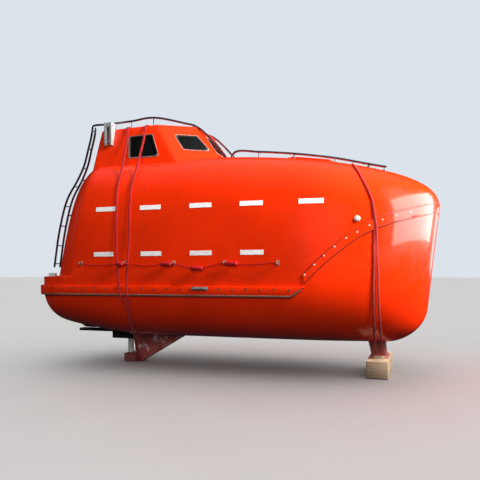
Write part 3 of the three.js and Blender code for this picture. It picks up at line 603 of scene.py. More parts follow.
def webbing(name, colour):
    """Woven strap: the weave runs along the piece's own UV map, in metres."""
    finish, tree = new_finish(name, sheen_weight=0.08, sheen_roughness=0.5)
    place = coordinates(tree, source="UV")
    ribs, cords = [
        add(tree, "ShaderNodeTexWave", {"Vector": place, "Scale": scale, "Distortion": waver, "Detail": 1.0},
            bands_direction=way).outputs["Fac"] for scale, waver, way in ((48.0, 0.6, "X"), (70.0, 0.4, "Y"))]
    weave = scaled(tree, ribs, cords)
    faded = clouds(tree, [(0.3, shade(colour, 0.66)), (0.7, colour)], 5.0, 5, 0.6)
    base = blend(tree, scaled(tree, weave, 0.35), faded, [min(1, c * 1.3 + 0.01) for c in colour])
    dull = clouds(tree, [(0.3, 0.62), (0.7, 0.85)], 60.0, 4)
    return dressed(finish, base, dull, bump(tree, weave, 0.6, 0.0010))


def sawn_timber(name, colour):
    """Sawn timber: growth rings and grain along the piece, grey with weather."""
    finish, tree = new_finish(name)
    along = coordinates(tree, (3.0, 0.25, 5.0))
    rings = add(tree, "ShaderNodeTexWave", {"Vector": along, "Scale": 2.2, "Distortion": 5.0, "Detail": 3.0},
                wave_type="RINGS").outputs["Fac"]
    grain = noise(tree, 60.0, 8, 0.7, (2.0, 0.06, 2.0))
    wood = ramp(tree, rings, [(0.2, shade(colour, 0.55)), (0.7, colour)])
    base = blend(tree, ramp(tree, grain, [(0.35, 0.0), (0.75, 0.75)]), wood, (0.20, 0.18, 0.15))
    return dressed(finish, base, ramp(tree, grain, [(0.3, 0.72), (0.8, 0.95)]),
                   bump(tree, grain, 0.6, 0.003, bump(tree, rings, 0.25, 0.003)))


def pale_floor(name, colour):
    finish, tree = new_finish(name)
    return dressed(finish, clouds(tree, [(0.3, shade(colour, 0.97)), (0.7, colour)], 0.8, 4),
                   clouds(tree, [(0.3, 0.65), (0.7, 0.8)], 3.0, 4))


# The shared finishes: how each is made, its material's name and its colours
FINISH_TABLE = {
    "orange": (gelcoat, "orange_gelcoat"),
    "glass": (tinted_glass, "dark_pane"),
    "tape": (reflective_tape, "white_tape"),
    "steel": (metal, "rail_tube", (0.40, 0.44, 0.50), (0.16, 0.19, 0.24), 0.28),
    "galvanised": (metal, "galvanised_plate", (0.26, 0.32, 0.31), (0.16, 0.21, 0.21), 0.48, 30.0, 0.4),
    "dark_steel": (metal, "dark_fastener", (0.16, 0.13, 0.12), (0.07, 0.05, 0.05), 0.5, 60.0, 0.6),
    "frame_grey": (metal, "window_frame_alloy", (0.34, 0.17, 0.13), (0.22, 0.11, 0.09), 0.5, 40.0, 0.1),
    "bronze": (metal, "propeller_bronze", (0.62, 0.40, 0.16), (0.26, 0.22, 0.12), 0.34, 16.0),
    "anode": (metal, "zinc_anode", (0.44, 0.45, 0.45), (0.28, 0.29, 0.29), 0.6, 40.0, 0.3),
    "black": (paint, "black_underwater_paint", (0.022, 0.022, 0.024), (0.09, 0.05, 0.035), 0.6),
    "rest": (paint, "worn_red_oxide", (0.26, 0.060, 0.050), (0.09, 0.040, 0.035), 0.7),
    "skeg": (paint, "worn_brown_oxide", (0.46, 0.095, 0.080), (0.78, 0.70, 0.68), 0.72, (0.55, 0.66), 9.0),
    "pale": (paint, "pale_paint", (0.78, 0.78, 0.75), (0.36, 0.30, 0.26), 0.5, (0.66, 0.74)),
    # Pale paint for the stern rail's inner tube: partly pale paint, partly painted sunlight on that tube
    "pale_tube": (paint, "pale_tube", (0.66, 0.67, 0.72), (0.30, 0.32, 0.36), 0.4, (0.62, 0.72), 30.0),
    "engine": (paint, "grey_engine_paint", (0.24, 0.29, 0.29), (0.06, 0.06, 0.06), 0.5),
    # Pale pinkish bolt caps: partly the caps' own tone, partly a painted highlight for the glint of the dome
    # nuts
    "caps": (plastic, "pale_bolt_caps", (0.74, 0.52, 0.44), 0.45),
    "bead": (plastic, "brown_rubber_bead", (0.20, 0.085, 0.062)),
    # Dark rust-brown strips on the seam flange's edges: partly sealant, partly painted shade along the
    # flange's edges
    "sealant": (plastic, "rust_brown_sealant", (0.13, 0.014, 0.005), 0.5, 300.0),
    "rubber": (plastic, "black_rubber", (0.020, 0.020, 0.021), 0.72),
    "float": (plastic, "red_float", (0.36, 0.008, 0.012), 0.42, 160.0),
    "rope": (plastic, "red_rope", (0.42, 0.012, 0.010), 0.85, 900.0),
    "seat": (plastic, "orange_seat_moulding", (0.74, 0.26, 0.05)),
    "liner": (plastic, "pale_inner_moulding", (0.70, 0.69, 0.64), 0.5, 260.0),
    "webbing": (webbing, "red_webbing", (0.52, 0.019, 0.020)),
    "dark_webbing": (webbing, "dark_red_webbing", (0.27, 0.012, 0.009)),
    "timber": (sawn_timber, "sleeper_timber", (0.30, 0.185, 0.10)),
}
FINISHES = {}


def finish_of(name):
    """A shared finish, made when first asked for."""
    if name not in FINISHES:
        maker, *values = FINISH_TABLE[name]
        FINISHES[name] = maker(*values)
    return FINISHES[name]


# Fasteners by Geometry Nodes
def new_group(name, values):
    """A Geometry Nodes tree for a shape in one finish, with its inputs by name, kind and value."""
    tree = bpy.data.node_groups.new(name, "GeometryNodeTree")
    for way in ("INPUT", "OUTPUT"):
        tree.interface.new_socket("Geometry", in_out=way, socket_type="NodeSocketGeometry")
    for key, kind, value in values:
        socket = tree.interface.new_socket(key, in_out="INPUT", socket_type=f"NodeSocket{kind}")
        socket.default_value = value
    tree.interface.new_socket("Finish", in_out="INPUT", socket_type="NodeSocketMaterial")
    return tree, add(tree, "NodeGroupInput").outputs


def end_group(tree, geometry, finish):
    real = add(tree, "GeometryNodeRealizeInstances", {"Geometry": geometry})
    painted = add(tree, "GeometryNodeSetMaterial", {"Geometry": real.outputs["Geometry"], "Material": finish})
    add(tree, "NodeGroupOutput", {"Geometry": painted.outputs["Geometry"]})
    return tree


def heads_tree():
    """Screw heads on the points of a mesh, each standing along the point's own outward direction."""
    tree, given = new_group("fastener_heads", (
        ("Head Radius", "Float", 0.009), ("Head Height", "Float", 0.004),
        ("Sides", "Int", 12), ("Seed", "Int", 7)))
    radius, height = given["Head Radius"], given["Head Height"]
    low = add(tree, "GeometryNodeMeshCone", {"Vertices": given["Sides"], "Radius Bottom": radius,
                                             "Radius Top": scaled(tree, radius, 0.86), "Depth": height})
    high = add(tree, "GeometryNodeMeshCone", {
        "Vertices": given["Sides"], "Radius Bottom": scaled(tree, radius, 0.62),
        "Radius Top": scaled(tree, radius, 0.30), "Depth": scaled(tree, height, 0.45)})
    lift = add(tree, "ShaderNodeCombineXYZ", {"Z": height})
    raised = add(tree, "GeometryNodeTransform", {"Geometry": high.outputs["Mesh"],
                                                 "Translation": lift.outputs["Vector"]})
    head = add(tree, "GeometryNodeJoinGeometry")
    for part in (low.outputs["Mesh"], raised.outputs["Geometry"]):
        tree.links.new(part, head.inputs["Geometry"])
    outward = add(tree, "GeometryNodeInputNamedAttribute", {"Name": "outward"}, data_type="FLOAT_VECTOR")
    stand = add(tree, "FunctionNodeAlignRotationToVector", {"Vector": outward.outputs["Attribute"]}, axis="Z")
    turn = add(tree, "FunctionNodeRandomValue", {"Seed": given["Seed"], 3: 2 * math.pi}, data_type="FLOAT")
    spin = add(tree, "ShaderNodeCombineXYZ", {"Z": turn.outputs[1]})
    spun = add(tree, "FunctionNodeEulerToRotation", {"Euler": spin.outputs["Vector"]})
    both = add(tree, "FunctionNodeRotateRotation", {
        "Rotation": stand.outputs["Rotation"], "Rotate By": spun.outputs["Rotation"]},
        rotation_space="LOCAL").outputs["Rotation"]
    placed = add(tree, "GeometryNodeInstanceOnPoints", {
        "Points": given["Geometry"], "Instance": head.outputs["Geometry"], "Rotation": both})
    return end_group(tree, placed.outputs["Instances"], given["Finish"])


def set_group(piece, name, maker, **values):
    """Gives a piece a Geometry Nodes modifier, its named inputs set by their sockets' identifiers."""
    change = piece.modifiers.new(name, "NODES")
    change.node_group = bpy.data.node_groups.get(name) or maker()
    for socket in change.node_group.interface.items_tree:
        key = socket.name.lower().replace(" ", "_")
        if socket.in_out == "INPUT" and key in values:
            change[socket.identifier] = values[key]


def heads(name, places, finish, radius, height, body="boat", sides=12):
    """Fastener heads at [point, outward] places in the hull's frame, as one piece."""
    mesh = bpy.data.meshes.new(name)
    mesh.from_pydata([(np.array(p) + SHIFT).tolist() for p, _ in places], [], [])
    ways = np.array([np.array(n) / np.linalg.norm(n) for _, n in places], np.float32)
    mesh.attributes.new("outward", "FLOAT_VECTOR", "POINT").data.foreach_set("vector", ways.ravel())
    piece = new_piece(name, mesh)
    set_group(piece, "fastener_heads", heads_tree, head_radius=radius, head_height=height, sides=sides,
              seed=bpy.context.scene.lifeboat_fastenings.seed, finish=finish_of(finish))
    bake(piece)
    settle(piece, finish, body)


def skin_normal(x, z, sign):
    """Outward direction of the skin at x and z."""
    e = 0.01
    dy_dx = (side_at(x + e, z) - side_at(x - e, z)) / (2 * e)
    dy_dz = (side_at(x, z + e) - side_at(x, z - e)) / (2 * e)
    return np.array([-dy_dx, sign, -dy_dz])


# Hull and canopy
SEAM = np.array([
    [-3.200, 0.725], [1.130, 0.725], [1.305, 0.905], [1.463, 1.070], [1.659, 1.245], [1.854, 1.400],
    [2.008, 1.510], [2.190, 1.605], [2.410, 1.685], [2.683, 1.765], [2.920, 1.850], [3.200, 1.900]])


def seam_level(x):
    return np.interp(x, SEAM[:, 0], SEAM[:, 1])


def body_skin(d, name="body"):
    """The body of the boat as one closed skin, d inside its outer face."""
    x, y, z = half_sections(stations(d), d)
    count, size = x.shape
    points = np.stack([np.stack([x, -y, z], -1), np.stack([x, y, z], -1)], 2).reshape(-1, 3)

    def at(station, i, side):
        return (station * size + i) * 2 + side

    faces = []
    for r in range(count - 1):
        for i in range(size - 1):
            faces.append([at(r, i, 0), at(r + 1, i, 0), at(r + 1, i + 1, 0), at(r, i + 1, 0)])
            faces.append([at(r, i, 1), at(r, i + 1, 1), at(r + 1, i + 1, 1), at(r + 1, i, 1)])
    for i in range(size - 1):
        faces.append([at(0, i, 0), at(0, i + 1, 0), at(0, i + 1, 1), at(0, i, 1)])
    return Form().add((points, faces)).piece(name)


HOUSE_TOP = np.array([[-1.997, 0.660, 3.175], [-1.060, 0.660, 3.200], [-0.535, 0.330, 3.202]])
HOUSE_BASE = np.array([[-2.060, 0.800, 2.600], [-0.670, 0.800, 2.600], [-0.100, 0.400, 2.600]])
HOUSE_WALL, HOUSE_RISE, HOUSE_FOOT = 0.040, 0.590, 1.75


def house_ring(t, d):
    """One ring of the wheelhouse, t down its walls from the roof, moved d inside its faces."""
    side = mix(HOUSE_TOP, HOUSE_BASE, t)
    outline = np.vstack([side * [1, -1, 1], side[::-1]])
    ring = []
    for i, p in enumerate(outline):
        before, after = outline[i - 1], outline[(i + 1) % len(outline)]
        n, m = [np.array([a[1] - b[1], b[0] - a[0]]) / math.hypot(a[1] - b[1], b[0] - a[0])
                for a, b in ((before, p), (p, after))]
        ring.append([*(p[:2] + (n + m) * d / (1 + n @ m)), p[2]])
    return np.array(ring)


def house_solid(d, name="house", edge=0.0):
    piece = solid(loft([house_ring(HOUSE_FOOT, d), house_ring(d / HOUSE_RISE, d)]), name)
    if edge:
        with editing(piece.data) as made:
            bmesh.ops.recalc_face_normals(made, faces=made.faces)
            low = min(v.co.z for v in made.verts)
            edges = [e for e in made.edges if not all(v.co.z < low + 0.01 for v in e.verts)]
            bmesh.ops.bevel(made, geom=edges, offset=edge, segments=5, profile=0.5, affect="EDGES")
    return piece


WALL_ANGLE = math.atan(AFT_LEAN)
WALL_FOOT = Vector((CANOPY_AFT, 0.0, PLATFORM_LEVEL + 0.015))
ON_WALL = Matrix.Translation(WALL_FOOT) @ Matrix.Rotation(WALL_ANGLE, 4, "Y")
DOOR = {"half": 0.310, "low": 0.110, "high": 1.190}
HATCH = {"half": 0.280, "rim": 0.035, "rise": 0.025, "lid": 0.020, "pin": (-0.338, 0.042)}
HATCH_RIM = HATCH["half"] + HATCH["rim"]
HATCH_MIDDLE, HATCH_LEAN = (1.200, 0.0, 2.568), 0.142
ON_HATCH = Matrix.Translation(HATCH_MIDDLE) @ Matrix.Rotation(HATCH_LEAN, 4, "Y")

SHAFT_LEVEL, TUNNEL_RADIUS, TUNNEL_FORE = 0.315, 0.330, -2.100
NOZZLE = {"x": -2.560, "half": 0.140, "outer": 0.252, "inner": 0.222, "stock": 0.024}
STOCK_HOLE_RADIUS = NOZZLE["stock"] + 0.005


def tunnel(radius, aft, fore, low):
    """The room round the shaft between two places along the boat, open downwards to a level."""
    arch = solid(lathe([[radius, aft], [radius, fore]], (0, 0, SHAFT_LEVEL), (1, 0, 0), 56))
    return combine(arch, "UNION", solid(box(aft, fore, -radius, radius, low, SHAFT_LEVEL)))


def beyond_seam(upper):
    """Everything above the seam, or everything below it, with a hair's gap between the two."""
    gap, far = (0.0006, 3.6) if upper else (-0.0006, -0.7)
    return solid(side_prism([*((x, z + gap) for x, z in SEAM.tolist()), (3.2, far), (-3.2, far)], -1.5, 1.5))


class LIFEBOAT_OT_shell(bpy.types.Operator):
    """Hull with its tunnel and canopy with its openings, as thick as the whole wall"""
    bl_idname = "lifeboat.shell"
    bl_label = "Hull and canopy"

    def execute(self, context):
        hull = combine(body_skin(0.0, "hull_moulding"), "INTERSECT", beyond_seam(False))
        lining = tunnel(TUNNEL_RADIUS + WALL, -3.050, TUNNEL_FORE + WALL, -0.200)
        combine(lining, "INTERSECT", body_skin(0.0))
        combine(hull, "DIFFERENCE", body_skin(WALL))
        combine(hull, "UNION", lining)
        hole_ends = [(NOZZLE["x"], 0, SHAFT_LEVEL + rise) for rise in (0.15, 0.5)]
        stock_hole = bar(*hole_ends, STOCK_HOLE_RADIUS, 24)
        combine(hull, "DIFFERENCE", tunnel(TUNNEL_RADIUS, -3.100, TUNNEL_FORE, -0.300), solid(stock_hole))
        settle(hull, "orange", replaces=["hull"])

        canopy = combine(body_skin(0.0, "canopy_moulding"), "INTERSECT", beyond_seam(True))
        combine(canopy, "DIFFERENCE", body_skin(WALL))
        door = turned(box(-0.2, 0.3, -DOOR["half"], DOOR["half"], DOOR["low"], DOOR["high"]), ON_WALL)
        hatch = turned(box(-HATCH_RIM, HATCH_RIM, -HATCH_RIM, HATCH_RIM, -0.3, 0.3), ON_HATCH)
        combine(canopy, "DIFFERENCE", house_solid(HOUSE_WALL), solid(door), solid(hatch))
        settle(canopy, "orange", replaces=["canopy"])
        return {"FINISHED"}


# Bands that stand on the skin
STERN_END = CANOPY_AFT - PLATFORM_LENGTH - 0.019


def ring_on_skin(s, profile, sign):
    """Points at station s for a profile of [level, depth] pairs, the stern's face kept flat."""
    ring = []
    for z, d in profile:
        at = s + d * float(clamp01((CANOPY_AFT + CORNER - s) / CORNER))
        ring.append([max(STERN_END, at + slide(at, z, d)), sign * half_breadth(at, z, d), z])
    return ring


RAIL_TOP, RAIL_FOOT, RAIL_EDGE = 0.792, 0.660, 0.010
RAIL_END, RAIL_TAPER = 1.130, 0.160
BEAD_RADIUS, BEAD_STEPS = 0.0185, 360
FLANGE_START, FLANGE_HALF_WIDTH = 1.291, 0.065
RAIL_BOLTS_FORE, RAIL_BOLTS_AFT, RAIL_BOLTS_LEVEL, RAIL_BOLTS_STAGGER = 1.105, -2.60, 0.750, 0.008
SEAM_BOLTS_AFT, SEAM_BOLTS_FORE = 1.303, 2.72


def rail_foot(s):
    """Lower edge of the rub rail, which rises to a point at its forward end."""
    return RAIL_FOOT + 0.118 * max(0.0, (s - RAIL_END) / RAIL_TAPER)


def rail_profile(low, high=RAIL_TOP):
    """Closed outline of the rub rail as [level, depth]; a negative depth stands out from the skin."""
    out, edge = -FENDER_DEPTH, min(RAIL_EDGE, (high - low) / 3)
    return [[low, 0.004], [low, out + edge], [low + edge * 0.3, out + edge * 0.3], [low + edge, out],
            [high - edge, out], [high - edge * 0.3, out + edge * 0.3], [high, out + edge], [high, 0.004]]


def flange_thickness(s):
    return mix(FLANGE_DEPTH, STEM_FLANGE_DEPTH, smooth((s - 2.2) / (STEM_END - 2.2)))


def flange_rings(run, profile):
    """Rings of a band along the seam; a depth below zero is a share of its thickness, thinner at the stem."""
    rings = []
    for s, sign in [*((s, -1) for s in run), *((s, 1) for s in run[-2::-1])]:
        ring = []
        for dz, share in profile:
            d = share if share > 0 else share * flange_thickness(s)
            at = BOW_START + (s - BOW_START) * (STEM_END - d - BOW_START) / (STEM_END - BOW_START)
            z = seam_level(at) + dz
            for _ in range(14):
                z = seam_level(at + slide(at, z, d)) + dz
            ring.append([at + slide(at, z, d), sign * half_breadth(at, z, d), z])
        rings.append(ring)
    return rings


def band_profile(middle, half, edge, shoulder, top):
    """A low band on the seam as [height from it, depth], its edges eased."""
    low, high = middle - half, middle + half
    side = [[low, 0.004], [low, shoulder], [low + edge, top]]
    return [*side, [high - edge, top], [high, shoulder], [high, 0.004]]


class LIFEBOAT_OT_bands(bpy.types.Operator):
    """Rub rail round the sides and stern, and the seam flange that sweeps up to the bow"""
    bl_idname = "lifeboat.bands"
    bl_label = "Rub rail and seam flange"

    def execute(self, context):
        corner = corner_stations()
        point = np.linspace(RAIL_END + 0.020, RAIL_END + RAIL_TAPER, 9)
        run = np.concatenate([corner, np.linspace(corner[-1], RAIL_END, 50)[1:], point])
        round_stern = [*((s, -1) for s in run[::-1]), *((s, 1) for s in run)]
        rail = loft([ring_on_skin(s, rail_profile(rail_foot(s)), sign) for s, sign in round_stern])
        settle(solid(rail, "rub_rail_moulding"), "orange", replaces=["rub_rail"])
        bead = [ring_on_skin(s, [[rail_foot(s) + 0.004, 0.012 - FENDER_DEPTH]], sign)[0]
                for s, sign in round_stern]
        swell = np.sqrt(np.clip(np.sin(np.linspace(0, np.pi, BEAD_STEPS)) * 24, 0.05, 1))
        points, faces = tube(evenly(np.array(bead), BEAD_STEPS), BEAD_RADIUS * swell, 12)
        points[:, 0] = np.maximum(points[:, 0], STERN_END)
        settle(solid((points, faces), "rub_rail_bead"), "bead")

        share = (FLANGE_START - BOW_START) / (STEM_END - BOW_START)
        flange_run = bow_stations(math.asin(share ** (BOW_POWER / 2)), 54)
        half = FLANGE_HALF_WIDTH
        band = band_profile(0.0, half, 0.004, -0.7, -1.0)
        band.insert(3, [0.0, -1.0])
        settle(solid(loft(flange_rings(flange_run, band)), "seam_flange_band"), "orange",
               replaces=["seam_flange"])
        # Dark strips along both edges of the flange: partly sealant, partly painted shade standing for the
        # shadow lines at its edges
        seals = Form()
        for middle in (-half, half):
            seals.add(loft(flange_rings(flange_run, band_profile(middle, 0.008, 0.003, -0.8, -1.05))))
        settle(seals.piece("seam_sealant"), "sealant")
        self.bolts(context.scene.lifeboat_fastenings)
        return {"FINISHED"}

    def bolts(self, fastenings):
        rail_places, seam_places = [], []
        for _, sign in SIDES:
            row = np.arange(RAIL_BOLTS_FORE, RAIL_BOLTS_AFT, -fastenings.rail_spacing)
            for i, x in enumerate(row):
                z = RAIL_BOLTS_LEVEL + (RAIL_BOLTS_STAGGER if i % 2 else -RAIL_BOLTS_STAGGER)
                s = station_at(x, z)
                if s > CANOPY_AFT + 0.02:
                    normal = skin_normal(x, z, sign) if x > -2.3 else np.array([-0.6, sign, 0])
                    rail_places.append(([x, sign * half_breadth(s, z, -FENDER_DEPTH), z], normal))
            x = SEAM_BOLTS_AFT
            while x < SEAM_BOLTS_FORE:
                z = seam_level(x) + mix(0.040, 0.012, smooth((x - 1.850) / 0.100))
                s = station_at(x, z)
                y = sign * half_breadth(s, z, -flange_thickness(s))
                seam_places.append(([x, y, z], skin_normal(x, z, sign)))
                slope = (seam_level(x + 0.01) - seam_level(x - 0.01)) / 0.02
                x += fastenings.seam_spacing / math.sqrt(1 + slope ** 2)
        heads("rub_rail_bolts", rail_places, "dark_steel", 0.013, 0.004)
        # The seam bolts' pale caps carry a painted highlight, the glint of their domes
        heads("seam_bolts", seam_places, "caps", 0.012, 0.005)


TAPE_ROWS = [(1.890, (-1.613, -0.895, -0.140, 0.581, 1.375)), (1.240, (-1.624, -0.866, -0.120, 0.603))]
TAPE_COLUMNS = 13


class LIFEBOAT_OT_tapes(bpy.types.Operator):
    """White reflective tapes in two rows on each side"""
    bl_idname = "lifeboat.tapes"
    bl_label = "Reflective tapes"

    def execute(self, context):
        shell = context.scene.lifeboat_shell
        form = Form()
        middles = [(x, level) for level, row in TAPE_ROWS for x in row]
        for sign, (middle, level) in ((sign, place) for _, sign in SIDES for place in middles):
            grid = [(middle + u * shell.tape_length / 2, level + v * shell.tape_height / 2)
                    for u in np.linspace(-1, 1, TAPE_COLUMNS) for v in (-1, -0.33, 0.33, 1)]
            top, under = ([[x, sign * (side_at(x, z) + out), z] for x, z in grid] for out in (0.0022, -0.004))
            form.add(slab(top, under, TAPE_COLUMNS, 4))
        settle(form.piece("reflective_tapes"), "tape", angle=50)
        return {"FINISHED"}


def slab(top, under, columns, rows):
    """A thin sheet between two grids of points."""
    count = columns * rows
    faces = []
    for i in range(columns - 1):
        for j in range(rows - 1):
            a, b, c, e = i * rows + j, (i + 1) * rows + j, (i + 1) * rows + j + 1, i * rows + j + 1
            faces += [[a, b, c, e], [count + a, count + e, count + c, count + b]]
    rim = [i * rows for i in range(columns)] + [(columns - 1) * rows + j for j in range(1, rows)]
    rim += [i * rows + rows - 1 for i in range(columns - 2, -1, -1)] + list(range(rows - 2, 0, -1))
    for a, b in zip(rim, rim[1:] + rim[:1]):
        faces.append([a, count + a, count + b, b])
    return [*top, *under], faces


# Wheelhouse and its windows. A face is the number of its first corner in the outline, head and sill run
# along it at the window's upper and lower edge, and v runs down it from the roof
SIDE_WINDOWS = [("side_window", 0, (0.495, 0.851), (0.460, 0.817), (0.27, 0.83)),
                ("quarter_window", 1, (0.31, 0.815), (0.31, 0.89), (0.28, 0.67))]


def mirrored(span):
    return 1 - span[1], 1 - span[0]


WINDOWS = [(f"{name}_starboard", *place) for name, *place in SIDE_WINDOWS]
WINDOWS.append(("front_window", 2, (0.14, 0.86), (0.14, 0.86), (0.25, 0.68)))
WINDOWS += [(f"{name}_port", 4 - face, mirrored(head), mirrored(sill), v)
            for name, face, head, sill, v in SIDE_WINDOWS[::-1]]
CORNER_RADIUS, CORNER_STEPS = 0.035, 6


class WindowPlane:
    """Where a window lies: its corners in its own plane and the way out of the wheelhouse."""

    def __init__(self, face, head, sill, v):
        top, base = house_ring(0, 0)[face:face + 2], house_ring(1, 0)[face:face + 2]
        corners = (head[0], v[0]), (head[1], v[0]), (sill[1], v[1]), (sill[0], v[1])
        quad = np.array([mix(mix(*top, along), mix(*base, along), down) for along, down in corners])
        self.middle = quad.mean(0)
        normal = np.cross(quad[1] - quad[0], quad[3] - quad[0])
        normal /= np.linalg.norm(normal)
        if normal @ (self.middle - [-1.3, 0, self.middle[2]]) < 0:
            normal = -normal
        self.normal = normal
        self.right = quad[1] - quad[0] - normal * ((quad[1] - quad[0]) @ normal)
        self.right /= np.linalg.norm(self.right)
        self.up = np.cross(normal, self.right)
        self.flat = np.array([[(p - self.middle) @ self.right, (p - self.middle) @ self.up] for p in quad])

    def outline(self, grow):
        """[right, up] round the window, grown outwards, with rounded corners."""
        quad = self.flat
        if np.cross(quad[1] - quad[0], quad[2] - quad[1]) < 0:
            quad = quad[::-1]
        corners = []
        for i, p in enumerate(quad):
            sides = p - quad[i - 1], quad[(i + 1) % 4] - p
            n, m = [np.array([w[1], -w[0]]) / np.linalg.norm(w) for w in sides]
            corners.append(p + (n + m) * grow / (1 + n @ m))
        out = []
        for i, p in enumerate(corners):
            a, b = [(q - p) / np.linalg.norm(q - p) for q in (corners[i - 1], corners[(i + 1) % 4])]
            half = math.acos(float(np.clip(a @ b, -1, 1))) / 2
            centre = p + (a + b) / np.linalg.norm(a + b) * CORNER_RADIUS / math.sin(half)
            start, end = [p + w * CORNER_RADIUS / math.tan(half) - centre for w in (a, b)]
            sweep = math.pi - 2 * half
            for t in np.linspace(0, 1, CORNER_STEPS):
                turn = start * math.sin((1 - t) * sweep) + end * math.sin(t * sweep)
                out.append(centre + turn / math.sin(sweep))
        return np.array(out)

    def at(self, grow, depth):
        """The window's outline, grown and at a depth inside the wheelhouse's face, in the hull's frame."""
        return [self.middle + u * self.right + v * self.up - depth * self.normal
                for u, v in self.outline(grow)]

    def ring(self, profile):
        """A ring round the window from an open profile of (growth, depth)."""
        return loft([self.at(*step) for step in [*profile, profile[0]]], ends=False)


# Profiles of the windows' frames and seals as (growth, depth)
FRAME_PROFILE = [(0.003, 0.003), (0.003, -0.004), (0.006, -0.006), (0.014, -0.006), (0.017, -0.003),
                 (0.017, 0.003)]
SEAL_PROFILE = [(-0.014, 0.012), (-0.014, 0.004), (-0.008, -0.001), (0.004, -0.003), (0.004, 0.001),
                (-0.002, 0.012)]


class LIFEBOAT_OT_wheelhouse(bpy.types.Operator):
    """Wheelhouse with its five windows, their frames, seals and screws"""
    bl_idname = "lifeboat.wheelhouse"
    bl_label = "Wheelhouse and windows"

    def execute(self, context):
        planes = {name: WindowPlane(*place) for name, *place in WINDOWS}
        house = house_solid(0.0, "wheelhouse_moulding", 0.030)
        combine(house, "DIFFERENCE", house_solid(HOUSE_WALL), body_skin(0.004),
                *[solid(loft([plane.at(0, -0.06), plane.at(0, 0.12)])) for plane in planes.values()])
        settle(house, "orange", replaces=["wheelhouse"])
        frames, seals, places = Form(), Form(), []
        for name, plane in planes.items():
            pane = loft([plane.at(-0.003, 0.012), plane.at(-0.003, 0.022)])
            settle(solid(pane, name.replace("window", "pane")), "glass", replaces=[name])
            frames.add(plane.ring(FRAME_PROFILE))
            seals.add(plane.ring(SEAL_PROFILE))
            places += [(p, plane.normal) for p in
                       spaced(plane.at(0.010, -0.006), context.scene.lifeboat_fastenings.window_spacing)]
        settle(frames.piece("window_frames"), "frame_grey")
        settle(seals.piece("window_seals"), "rubber")
        heads("window_screws", places, "steel", 0.0045, 0.002, sides=10)
        return {"FINISHED"}


# Rails
RAIL_RADIUS, POST_RADIUS, RUNG_RADIUS = 0.016, 0.010, 0.008
STERN_RAIL = [[-2.800, 0.745, 1.065], [-2.712, 0.725, 1.670], [-2.592, 0.700, 2.130], [-2.415, 0.680, 2.430],
              [-2.310, 0.665, 2.650], [-2.245, 0.650, 2.900], [-2.200, 0.640, 3.080], [-2.178, 0.628, 3.240]]
STERN_RAIL_GAP = [0.105, 0.105, 0.100, 0.085, 0.070, 0.062, 0.060, 0.060]
STERN_RAIL_HEAD = [[-2.180, 0.628, 3.235], [-2.168, 0.625, 3.270], [-2.130, 0.620, 3.283],
                   [-1.996, 0.612, 3.282]]
ROOF_RAIL = [[-1.980, 0.600, 3.282], [-1.500, 0.600, 3.298], [-1.130, 0.600, 3.318], [-0.600, 0.325, 3.232]]
ROOF_RAIL_FOOT = [[-0.600, 0.325, 3.232], [-0.465, 0.332, 3.145], [-0.115, 0.348, 2.760],
                  [-0.050, 0.350, 2.600]]
DECK_RAIL = [[0.040, 0.450, 2.640], [0.120, 0.450, 2.745], [0.480, 0.450, 2.722], [1.000, 0.450, 2.660],
             [1.580, 0.450, 2.560], [2.030, 0.450, 2.450], [2.262, 0.450, 2.395]]
DECK_RAIL_POSTS = [[0.480, 2.722], [1.000, 2.660], [1.580, 2.560], [2.030, 2.450], [2.240, 2.400]]


def flipped(points, sign):
    return [[x, sign * y, z] for x, y, z in points]


def foot_plate(centre, normal, radius=0.032):
    """Round plate with a weld bead, where a rail's foot meets the moulding."""
    return lathe([[0.0, -0.010], [radius, -0.010], [radius, 0.003], [radius - 0.003, 0.005], [0.018, 0.006],
                  [0.013, 0.012], [0.0, 0.012]], centre, normal, 24)


def deck_level(x, y):
    """Level of the canopy's top at x and distance y from the centre line."""
    low, high = 1.6, 2.8
    for _ in range(30):
        z = (low + high) / 2
        low, high = (z, high) if side_at(x, z) > abs(y) else (low, z)
    return low


def deck_normal(x, y, sign):
    e = 0.01
    return np.array([-(deck_level(x + e, y) - deck_level(x - e, y)) / (2 * e),
                     -sign * (deck_level(x, y + e) - deck_level(x, y - e)) / (2 * e), 1.0])


